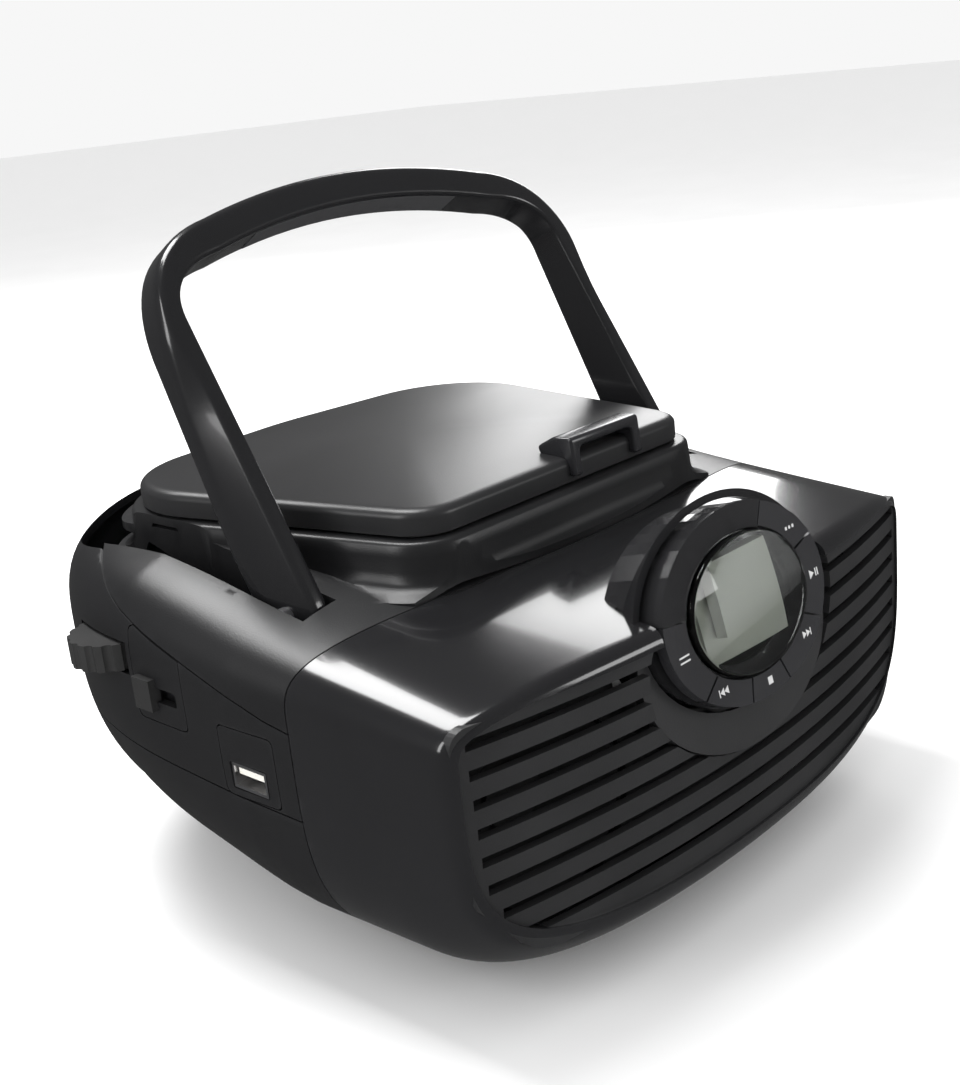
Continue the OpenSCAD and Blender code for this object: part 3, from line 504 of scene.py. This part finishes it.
def build_handle():
    """Carrying handle: a leg flares outwards behind its narrow front, and turns into a flatter bar."""
    inner = mirrored(handle_side(HANDLE_IN, HANDLE_IN - 0.6, HANDLE_REACH, 14, CORNER_V, 21))
    outer = mirrored(handle_side(HANDLE_OUT, HANDLE_OUT - 1.5, HANDLE_REACH + HANDLE_BAR, 17, CORNER_V - 8, 30))
    half = LEG_DEPTH / 2
    place = in_handle_plane()
    loops = []
    for a, b in zip(inner, outer):
        width = np.linalg.norm(b - a)
        along = (b - a) / width
        v = (a[1] + b[1]) / 2
        reach = half if v >= 0 else math.sqrt(max(0.01, half ** 2 - v ** 2))
        back = min(reach, half - (LEG_DEPTH - BAR_DEPTH) * min(1, max(0, (v - 24) / 72)))
        blend = min(1, max(0, (v - 58) / 38))
        blend = blend * blend * (3 - 2 * blend)
        front_w = LEG_FRONT_W + (width * 0.86 - LEG_FRONT_W) * blend
        slant = max(-reach + 0.2, (back - 6) + (-half + 2.2 - (back - 6)) * blend)
        outline = rounded([(0, -reach), (front_w, -reach), (width, slant), (width, back), (0, back)],
                          min(1.7, reach * 0.6))
        loops.append([place((a[0] + along[0] * s, w, a[1] + along[1] * s)) for s, w in outline])
    handle = loft("handle_skin", loops, smooth_angle=40)
    finish_piece(handle, "handle_gloss", "handle")


# ---- drum frame --------------------------------------------------------------------------------

def on_drum(p):
    """Moves (right, up the face, outward) of the drum's face to the cabinet's frame."""
    turn = Matrix.Rotation(math.radians(90 - DRUM_TILT), 3, "X")
    return tuple(np.array(turn @ Vector(p)) + DRUM_CENTRE)


# ---- materials ---------------------------------------------------------------------------------

def material(name, color, roughness, grain=0.0, grain_size=0.4, metal=0.0, coat=0.0, wear=0.15, mottle=0.12,
             stretch=(1, 1, 1), alpha=None, transmission=0.0):
    """A moulded or metal surface: mottled colour, uneven sheen, fine grain and paler worn edges."""
    made = bpy.data.materials.new(name)
    made.use_nodes = True
    nodes, links = made.node_tree.nodes, made.node_tree.links
    shader = nodes["Principled BSDF"]
    place = nodes.new("ShaderNodeTexCoord")
    scale = nodes.new("ShaderNodeMapping")
    scale.inputs["Scale"].default_value = stretch
    links.new(place.outputs["Object"], scale.inputs["Vector"])

    broad = nodes.new("ShaderNodeTexNoise")
    broad.inputs["Scale"].default_value = 28
    broad.inputs["Detail"].default_value = 5
    links.new(scale.outputs["Vector"], broad.inputs["Vector"])
    tint = nodes.new("ShaderNodeMix")
    tint.data_type = "RGBA"
    tint.inputs["A"].default_value = tuple(c * (1 - mottle) for c in color) + (1,)
    tint.inputs["B"].default_value = tuple(min(1, c * (1 + mottle) + 0.001) for c in color) + (1,)
    links.new(broad.outputs["Fac"], tint.inputs["Factor"])

    edge = nodes.new("ShaderNodeNewGeometry")
    ramp = nodes.new("ShaderNodeValToRGB")
    ramp.color_ramp.elements[0].position = 0.52
    ramp.color_ramp.elements[1].position = 0.62
    links.new(edge.outputs["Pointiness"], ramp.inputs["Fac"])
    patchy = nodes.new("ShaderNodeMath")
    patchy.operation = "MULTIPLY"
    links.new(ramp.outputs["Color"], patchy.inputs[0])
    links.new(broad.outputs["Fac"], patchy.inputs[1])
    amount = nodes.new("ShaderNodeMath")
    amount.operation = "MULTIPLY"
    amount.inputs[1].default_value = wear
    links.new(patchy.outputs["Value"], amount.inputs[0])
    worn = nodes.new("ShaderNodeMix")
    worn.data_type = "RGBA"
    worn.inputs["B"].default_value = tuple(min(1, c * 1.5 + 0.08) for c in color) + (1,)
    links.new(amount.outputs["Value"], worn.inputs["Factor"])
    links.new(tint.outputs["Result"], worn.inputs["A"])
    links.new(worn.outputs["Result"], shader.inputs["Base Color"])

    smear = nodes.new("ShaderNodeTexNoise")
    smear.inputs["Scale"].default_value = 9
    smear.inputs["Detail"].default_value = 6
    links.new(scale.outputs["Vector"], smear.inputs["Vector"])
    sheen = nodes.new("ShaderNodeMapRange")
    sheen.inputs["To Min"].default_value = max(0.02, roughness * 0.85)
    sheen.inputs["To Max"].default_value = min(1, roughness * 1.2)
    links.new(smear.outputs["Fac"], sheen.inputs["Value"])
    links.new(sheen.outputs["Result"], shader.inputs["Roughness"])

    fine = nodes.new("ShaderNodeTexNoise")
    fine.inputs["Scale"].default_value = 1000 / grain_size
    fine.inputs["Detail"].default_value = 2
    links.new(scale.outputs["Vector"], fine.inputs["Vector"])
    bump = nodes.new("ShaderNodeBump")
    bump.inputs["Strength"].default_value = grain
    bump.inputs["Distance"].default_value = 0.00012
    links.new(fine.outputs["Fac"], bump.inputs["Height"])
    links.new(bump.outputs["Normal"], shader.inputs["Normal"])

    shader.inputs["Metallic"].default_value = metal
    shader.inputs["Coat Weight"].default_value = coat
    shader.inputs["Coat Roughness"].default_value = 0.06
    shader.inputs["Transmission Weight"].default_value = transmission
    if alpha is not None:
        shader.inputs["Alpha"].default_value = alpha
    return made


LOOKS = {
    "bezel_gloss": material("black_gloss", (0.012, 0.012, 0.013), 0.16, grain=0.04, coat=0.5, wear=0.1),
    "handle_gloss": material("handle_gloss", (0.012, 0.012, 0.013), 0.2, grain=0.06, coat=0.4, wear=0.1),
    "mark_white": material("mark_white", (0.55, 0.55, 0.55), 0.5, wear=0.0),
    "shell_satin": material("black_satin", (0.012, 0.012, 0.013), 0.34, grain=0.25, grain_size=0.5),
    "lid_satin": material("lid_satin", (0.020, 0.020, 0.021), 0.34, grain=0.22, grain_size=0.45),
    "grille_matte": material("grille_matte", (0.018, 0.018, 0.019), 0.40, grain=0.3, grain_size=0.5),
    "button_gloss": material("button_satin", (0.018, 0.018, 0.02), 0.25, grain=0.12, coat=0.2),
    "lens_smoke": material("smoked_lens", (0.86, 0.88, 0.87), 0.03, wear=0.0, mottle=0.03, transmission=1.0),
    "lcd_grey": material("lcd_glass", (0.60, 0.62, 0.54), 0.22, mottle=0.04, wear=0.0),
    "grip_soft": material("soft_grip", (0.05, 0.05, 0.053), 0.7, grain=0.7, grain_size=0.8),
    "knob_black": material("knob_black", (0.02, 0.02, 0.02), 0.4, grain=0.3),
    "works_grey": material("works_grey", (0.10, 0.10, 0.11), 0.5, grain=0.25),
    "gear_white": material("gear_white", (0.72, 0.70, 0.64), 0.45, grain=0.15),
    "steel": material("steel", (0.62, 0.62, 0.64), 0.28, metal=1.0, grain=0.2, stretch=(1, 6, 1)),
    "chrome_tube": material("chrome_tube", (0.78, 0.78, 0.80), 0.1, metal=1.0, wear=0.05),
    "rubber_black": material("rubber_black", (0.018, 0.018, 0.018), 0.8, grain=0.6, grain_size=0.6),
    "baffle_black": material("baffle_black", (0.004, 0.004, 0.004), 0.9, grain=0.5, grain_size=0.8),
    "cone_black": material("cone_paper", (0.012, 0.012, 0.012), 0.85, grain=0.8, grain_size=1.2),
    "speaker_metal": material("speaker_metal", (0.08, 0.08, 0.085), 0.45, metal=0.6, grain=0.2),
    "board_green": material("board_green", (0.02, 0.10, 0.04), 0.35, grain=0.3, grain_size=1.5),
    "core_steel": material("core_steel", (0.20, 0.18, 0.15), 0.5, metal=0.7, grain=0.5, stretch=(1, 1, 8)),
}
SLOT_OF = {entry["node"]: entry["material_slot"] for entry in frame["record"]["subparts"]}
BODY_OF = {node: body for body, held in frame["record"]["behaviour"]["bodies"].items() for node in held}
# Finishes that aren't slots of the record, and the slot that each belongs to
SLOT_OF_FINISH = {"handle_gloss": SLOT_OF["handle"], "mark_white": SLOT_OF["button_play"]}


def finish_piece(obj, look, *nodes, body=None):
    """Gives a piece its finish and makes it ride on the body of the CAD nodes it stands for."""
    obj.data.materials.clear()
    obj.data.materials.append(LOOKS[look])
    for polygon in obj.data.polygons:
        polygon.material_index = 0
    SLOT_OF_FINISH.get(look, look)
    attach(obj, body or BODY_OF[nodes[0]])
    if nodes:
        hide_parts(*nodes)
    return obj


# ---- mouldings ---------------------------------------------------------------------------------

def build_shells():
    """The four mouldings of the cabinet, cut from one hollow form so that they meet along their seams."""
    outer = cabinet("outer_form")
    inner = cabinet("inner_form", WALL)
    bezel = combine(copy_of(outer, "front_bezel_skin"), bow_region("front_part", SEAM_Y - SEAM_GAP, False), "INTERSECT")
    combine(bezel, brow("brow_form"), "UNION")
    combine(bezel, bow_region("behind_seam", SEAM_Y - SEAM_GAP))
    combine(bezel, inner, keep=True)
    combine(bezel, brow("brow_inside", WALL))
    combine(bezel, grille_window())
    combine(bezel, prism("drum_hole", oval(DRUM_A + 1.2, DRUM_B + 1.2), -15, 60, place=on_drum))
    shade(bezel, 38)
    finish_piece(bezel, "bezel_gloss", "front_bezel")

    shell = combine(copy_of(outer, "shell_form"), inner)
    rest = combine(shell, bow_region("rear_part", SEAM_Y), "INTERSECT")
    build_top(rest, outer)
    build_middle(rest)
    build_panels(rest)
    bottom = combine(copy_of(rest, "bottom_skin"), side_region("below", LOWER_SEAM, above=False), "INTERSECT")
    low, high = box_mm("battery_door")
    door_room = [(low[0] - 0.5, low[1] - 0.5), (high[0] + 0.5, low[1] - 0.5), (high[0] + 0.5, high[1] + 0.5),
                 (low[0] - 0.5, high[1] + 0.5)]
    combine(bottom, prism("battery_hole", door_room, -20, 12))
    shade(bottom, 38)
    finish_piece(bottom, "shell_satin", "bottom_shell")
    for spare in (outer, rest):
        bpy.data.objects.remove(spare, do_unlink=True)


def grille_window():
    """The opening that the grille fills: its outline, kept clear of the bezel's rounded edge."""
    window = prism("grille_hole", shield_outline(), -300, -60, axis=1)
    turns = ring_turns()
    edge = [section(-FRONT_D, 2.6, turn) for turn in turns]
    return combine(window, prism("front_limit", edge, -320, -40, axis=1), "INTERSECT")


def build_top(rest, outer):
    """Top moulding with the deck, the opening over the disc well and the handle's channel."""
    top = combine(copy_of(rest, "top_skin"), side_region("above", shifted(UPPER_SEAM, SEAM_GAP)), "INTERSECT")
    deck = combine(deck_ring("deck"), bow_region("deck_rear", SEAM_Y + 0.3), "INTERSECT")
    combine(top, deck, "UNION")
    tub = folded_room("tub", 3.3)
    combine(tub, outer, "INTERSECT", keep=True)
    combine(tub, bow_region("tub_rear", SEAM_Y + 2), "INTERSECT")
    combine(tub, side_region("tub_top", shifted(UPPER_SEAM, SEAM_GAP)), "INTERSECT")
    combine(top, tub, "UNION")
    combine(top, folded_room("channel", 1.5))
    combine(top, prism("lid_opening", lid_outline(-2.5), 80, 160))
    pins_low, pins_high = box_mm("lid_hinge_pins")
    for side in (-1, 1):
        middle = side * (pins_high[0] - 10.4)
        notch = [(middle - 7.6, pins_low[1] - 9), (middle + 7.6, pins_low[1] - 9), (middle + 7.6, 130), (middle - 7.6, 130)]
        combine(top, prism("hinge_notch", notch, pins_low[2] - 3.2, 130))
    shade(top, 38)
    finish_piece(top, "shell_satin", "top_shell")


def build_middle(rest):
    """Band round the sides and rear, with openings for the controls and sockets."""
    middle = combine(copy_of(rest, "middle_skin"), side_region("over_low", shifted(LOWER_SEAM, SEAM_GAP)), "INTERSECT")
    combine(middle, side_region("under_high", UPPER_SEAM))
    combine(middle, folded_room("channel_rear", 3.6))
    for node in ("function_panel", "usb_panel"):
        combine(middle, panel_form(node, 0.3))
    for node in ("volume_wheel", "tuning_wheel"):
        low, high = box_mm(node)
        outline = [(low[0] - 8, low[1] - 0.9), (high[0] + 8, low[1] - 0.9), (high[0] + 8, high[1] + 0.9),
                   (low[0] - 8, high[1] + 0.9)]
        combine(middle, prism("slot_" + node, outline, low[2] - 0.9, high[2] + 0.9))
    for node in ("mains_inlet", "earphone_jack"):
        low, high = box_mm(node)
        outline = rounded([(low[0] - 0.4, low[2] - 0.4), (high[0] + 0.4, low[2] - 0.4),
                           (high[0] + 0.4, high[2] + 0.4), (low[0] - 0.4, high[2] + 0.4)], 1.5)
        combine(middle, prism("opening_" + node, outline, REAR_D - 12, 140, axis=1))
    combine(middle, antenna_cradle(), "UNION")
    shade(middle, 38)
    finish_piece(middle, "shell_satin", "middle_shell")


def antenna_cradle():
    """Hook on the rear wall that the folded antenna lies in, open at the top."""
    low, high = box_mm("antenna_outer_tube")
    y, z = (low[1] + high[1]) / 2, (low[2] + high[2]) / 2
    tube = 3.0
    inside = tube + 0.3
    outside = tube + 1.8
    lip = z + 1.6
    profile = [(REAR_D - 2, lip), (y - inside, lip)]
    for angle in np.linspace(180, 360, 17):
        turn = math.radians(angle)
        profile.append((y + inside * math.cos(turn), z + inside * math.sin(turn)))
    profile.append((y + inside, lip))
    profile.append((y + outside, lip))
    for angle in np.linspace(360, 270, 9):
        turn = math.radians(angle)
        profile.append((y + outside * math.cos(turn), z + outside * math.sin(turn)))
    profile.append((REAR_D - 2, z - outside))
    return prism("antenna_cradle", profile, CRADLE_X - 3, CRADLE_X + 3, axis=0)


def panel_form(node, grow=0.0):
    """Straight block over a side panel's rounded outline, to cut the panel from the cabinet's own side."""
    low, high = box_mm(node)
    outline = rounded([(low[1] - grow, low[2] - grow), (high[1] + grow, low[2] - grow),
                       (high[1] + grow, high[2] + grow), (low[1] - grow, high[2] + grow)], 2.2)
    return prism("panel_" + node, outline, -140, -60, axis=0)


def build_panels(rest):
    """The function and USB panels, flush with the side they sit in."""
    window_of = {"function_panel": "function_slider", "usb_panel": "usb_socket"}
    for node, inside in window_of.items():
        panel = combine(copy_of(rest, node + "_skin"), panel_form(node), "INTERSECT")
        combine(panel, side_region("over_panel", shifted(UPPER_SEAM, -0.3)))
        low, high = box_mm(inside)
        travel = joint("function_slide")["range_m"][1] / MM if inside == "function_slider" else 0
        window = [(low[1] - travel - 0.3, low[2] - 0.3), (high[1] + 0.3, low[2] - 0.3), (high[1] + 0.3, high[2] + 0.3),
                  (low[1] - travel - 0.3, high[2] + 0.3)]
        if inside == "usb_socket":
            combine(panel, prism("window", rounded(window, 0.8), -140, -60, axis=0))
        else:
            middle = (low[2] + high[2]) / 2
            slot = [(window[0][0], middle - 2.2), (window[1][0], middle - 2.2), (window[1][0], middle + 2.2),
                    (window[0][0], middle + 2.2)]
            combine(panel, prism("window", rounded(slot, 0.8), -140, -60, axis=0))
        shade(panel, 38)
        finish_piece(panel, SLOT_OF[node], node)


def build_lid():
    """Flared lid: a skirt, a rolled edge and a gently crowned top, hollow underneath."""
    roll = 2.6
    crown = 2.0
    loops = []
    centre = np.array([0.0, 20.0])

    def ring(grow, z, squeeze=1.0):
        points = []
        for x, y in lid_outline(grow):
            p = centre + (np.array([x, y]) - centre) * squeeze
            points.append((p[0], p[1], z))
        loops.append(points)

    ceiling = LID_H - 2.2
    ring(-2.4, LID_Z + ceiling, 0.03)
    ring(-2.4, LID_Z + ceiling, 0.6)
    ring(-2.4, LID_Z + ceiling)
    ring(-2.2, LID_Z + 0.3)
    ring(-1.9, LID_Z)
    ring(-0.6, LID_Z)
    ring(-0.1, LID_Z + 0.4)
    ring(0, LID_Z + 1.2)
    for angle in np.linspace(0, 90, 9):
        a = math.radians(angle)
        ring(-roll * 1.4 * (1 - math.cos(a)), LID_Z + LID_H - roll + roll * math.sin(a) - 0.4)
    edge_z = LID_Z + LID_H - 0.4
    for squeeze in (0.97, 0.9, 0.8, 0.68, 0.54, 0.4, 0.26, 0.12, 0.03):
        ring(-roll * 1.4, edge_z + crown * (1 - squeeze ** 2), squeeze)
    lid = loft("lid_skin", loops, smooth_angle=35)
    finish_piece(lid, "lid_satin", "cd_lid")
    return lid


def build_lid_hinges():
    """Knuckles and arms that carry the lid on its hinge pins."""
    _, y, z = np.array(joint("lid_open")["pos_m"]) / MM
    pins_low, pins_high = box_mm("lid_hinge_pins")
    x_mid = (pins_high[0] - 10.4)
    parts = []
    for side in (-1, 1):
        round_end = [(y + 3.4 * math.cos(t), z + 3.4 * math.sin(t)) for t in np.linspace(-0.5 * math.pi, 0.5 * math.pi, 17)]
        outline = round_end + [(y - 1.5, z + 6.0), (y - 7.5, z + 7.4), (y - 7.5, z + 2.4), (y - 3.2, z + 2.2)]
        knuckle = prism("lid_knuckle", outline, side * x_mid - 7, side * x_mid + 7, axis=0)
        bevel(knuckle, 0.4)
        bake(knuckle)
        shade(knuckle)
        parts.append(knuckle)
    return parts


def build_hood():
    """Finger hood at the lid's front: a rounded arch that slopes back into the lid."""
    low, high = box_mm("lid_grip")
    lid_top = LID_Z + LID_H
    side = [(low[1], low[2]), (low[1] + 3.4, low[2]), (low[1] + 4.2, lid_top - 1), (high[1], lid_top - 0.5),
            (high[1] + 1, lid_top + 2.0), (low[1] + 8, high[2] - 0.1), (low[1] + 1.2, high[2])]
    hood = prism("lid_hood", rounded(side, 1.4), low[0], high[0], axis=0)
    mid = (low[0] + high[0]) / 2
    half = (high[0] - low[0]) / 2 - 3.6
    arch = rounded([(mid - half, low[2] - 5), (mid + half, low[2] - 5), (mid + half, high[2] - 3), (mid - half, high[2] - 3)],
                   2.4)
    combine(hood, prism("hood_room", arch, low[1] - 5, low[1] + 8, axis=1))
    bevel(hood, 0.9, 3, 40)
    bake(hood)
    shade(hood, 60)
    finish_piece(hood, "button_gloss", "lid_grip")


def build_lens():
    """Clear domed window over the display."""
    loops = [[on_drum((x, y, -0.8)) for x, y in oval(LENS_A, LENS_B)]]
    for k in np.linspace(0, 1, 6):
        inset = 1.2 * (1 - math.cos(k * math.pi / 2))
        loops.append([on_drum((x, y, 0.4 + 1.2 * math.sin(k * math.pi / 2))) for x, y in oval(LENS_A - inset, LENS_B - inset)])
    for squeeze in np.linspace(0.96, 0.03, 14):
        height = 1.6 + 2.0 * (1 - squeeze ** 2)
        loops.append([on_drum((x * squeeze, y * squeeze, height)) for x, y in oval(LENS_A - 1.2, LENS_B - 1.2)])
    finish_piece(loft("display_lens_dome", loops, smooth_angle=60), "lens_smoke", "display_lens")


def triangle(x, y, size, way):
    return [(x - way * size / 2, y - size * 0.6), (x + way * size / 2, y), (x - way * size / 2, y + size * 0.6)]


def bar(x, y, wide, tall):
    return [(x - wide / 2, y - tall / 2), (x + wide / 2, y - tall / 2), (x + wide / 2, y + tall / 2),
            (x - wide / 2, y + tall / 2)]


def build_symbols():
    """Plain transport symbols on the six buttons; each rides on its own button."""
    symbols = {
        "button_repeat": (193, [bar(0, 0.7, 4.2, 0.45), bar(0, -0.7, 4.2, 0.45)]),
        "button_skip_back": (234, [triangle(-1.2, 0, 1.8, -1), triangle(0.7, 0, 1.8, -1), bar(-2.4, 0, 0.4, 2.1)]),
        "button_stop": (272, [bar(0, 0, 2.1, 2.1)]),
        "button_skip_forward": (313, [triangle(-0.7, 0, 1.8, 1), triangle(1.2, 0, 1.8, 1), bar(2.4, 0, 0.4, 2.1)]),
        "button_play": (355, [triangle(-0.8, 0, 2.2, 1), bar(1.2, 0, 0.5, 2.2), bar(2.2, 0, 0.5, 2.2)]),
        "button_mode": (36, [oval(0.5, 0.5, 16), bar(-1.7, 0, 0.9, 0.9), bar(1.7, 0, 0.9, 0.9)]),
    }
    for node, (angle, shapes) in symbols.items():
        x = 32.4 * math.cos(math.radians(angle))
        y = 22.8 * math.sin(math.radians(angle))
        for number, shape in enumerate(shapes):
            moved = [(px + x, py + y) for px, py in shape]
            mark = prism(f"symbol_{node[7:]}_{number}", moved, -0.4, 0.08, place=on_drum)
            finish_piece(mark, "mark_white", body=node)


build_shells()
build_lid()
for side_name, knuckle in zip(("left", "right"), build_lid_hinges()):
    knuckle.name = "lid_knuckle_" + side_name
    finish_piece(knuckle, "lid_satin", body="lid")
build_hood()
build_handle()
build_lens()
build_symbols()


# ---- finishes of the carried-over CAD nodes ----------------------------------------------------

def dress_cad_nodes():
    for node, obj in frame["nodes"].items():
        look = LOOKS[SLOT_OF[node]]
        obj.data.materials.clear() if not obj.material_slots else None
        if not obj.material_slots:
            obj.data.materials.append(look)
        for place in obj.material_slots:
            place.material = look


dress_cad_nodes()
for node in ("button_repeat", "button_skip_back", "button_stop", "button_skip_forward", "button_play", "button_mode",
             "control_drum", "display_lens", "control_surround"):
    bevel(frame["nodes"][node], 0.5, 3)
for node in ("volume_wheel", "tuning_wheel", "function_panel", "usb_panel", "function_slider", "usb_socket", "grille"):
    bevel(frame["nodes"][node], 0.25, 2)


# ---- stage, light and camera -------------------------------------------------------------------

def build_stage():
    floor = make_object("floor", [(-9000, -9000, 0), (9000, -9000, 0), (9000, 9000, 0), (-9000, 9000, 0)],
                        [(0, 1, 2, 3)])
    floor.data.materials.append(material("pale_floor", (0.94, 0.94, 0.94), 0.7, grain=0.05, wear=0.0, mottle=0.01))
    floor.visible_glossy = False
    world = bpy.data.worlds.new("studio")
    world.use_nodes = True
    nodes, links = world.node_tree.nodes, world.node_tree.links
    path = nodes.new("ShaderNodeLightPath")
    level = nodes.new("ShaderNodeMapRange")
    level.inputs["To Min"].default_value = 1.0
    level.inputs["To Max"].default_value = 0.09
    links.new(path.outputs["Is Glossy Ray"], level.inputs["Value"])
    seen = nodes.new("ShaderNodeMapRange")
    seen.inputs["To Min"].default_value = 1.0
    seen.inputs["To Max"].default_value = 0.93
    links.new(path.outputs["Is Camera Ray"], seen.inputs["Value"])
    both = nodes.new("ShaderNodeMath")
    both.operation = "MULTIPLY"
    links.new(level.outputs["Result"], both.inputs[0])
    links.new(seen.outputs["Result"], both.inputs[1])
    links.new(both.outputs["Value"], nodes["Background"].inputs["Strength"])
    nodes["Background"].inputs["Color"].default_value = (1, 1, 1, 1)
    bpy.context.scene.world = world
    bpy.context.scene.view_settings.view_transform = "Standard"


def softbox(name, place, aim, size, power):
    """A rectangular soft light at place, in metres, that points at aim."""
    data = bpy.data.lights.new(name, "AREA")
    data.shape = "RECTANGLE"
    data.size, data.size_y = size
    data.energy = power
    lamp = bpy.data.objects.new(name, data)
    bpy.context.scene.collection.objects.link(lamp)
    lamp.location = place
    lamp.rotation_euler = (Vector(aim) - Vector(place)).to_track_quat("-Z", "Y").to_euler()


def build_camera():
    """Camera to the front left and a little above, rolled slightly, as the reference view has it."""
    azimuth, height, roll = math.radians(-45.409), math.radians(17.509), math.radians(-5.99)
    ahead = Vector((-math.sin(azimuth) * math.cos(height), math.cos(azimuth) * math.cos(height), -math.sin(height)))
    level = Vector((math.cos(azimuth), math.sin(azimuth), 0))
    upright = level.cross(ahead)
    right = level * math.cos(roll) + upright * math.sin(roll)
    up = upright * math.cos(roll) - level * math.sin(roll)
    data = bpy.data.cameras.new("reference_view")
    data.sensor_fit = "HORIZONTAL"
    data.sensor_width = 36
    data.lens = 1483.7 / 960 * 36
    camera = bpy.data.objects.new("reference_view", data)
    bpy.context.scene.collection.objects.link(camera)
    turn = Matrix((right, up, -ahead)).transposed().to_4x4()
    camera.matrix_world = Matrix.Translation(Vector((-0.3159, -0.3191, 0.23065))) @ turn
    bpy.context.scene.camera = camera


build_stage()
softbox("overhead_light", (0.0, 0.55, 1.25), (0, 0, 0.1), (0.45, 1.0), 17)
softbox("left_light", (-1.25, 0.35, 0.75), (0, 0, 0.1), (0.35, 0.9), 6)
softbox("right_light", (1.2, 0.8, 0.7), (0, 0, 0.1), (0.5, 0.8), 7)
softbox("front_light", (0.75, -1.35, 0.5), (0, 0, 0.08), (0.5, 0.5), 4)
build_camera()
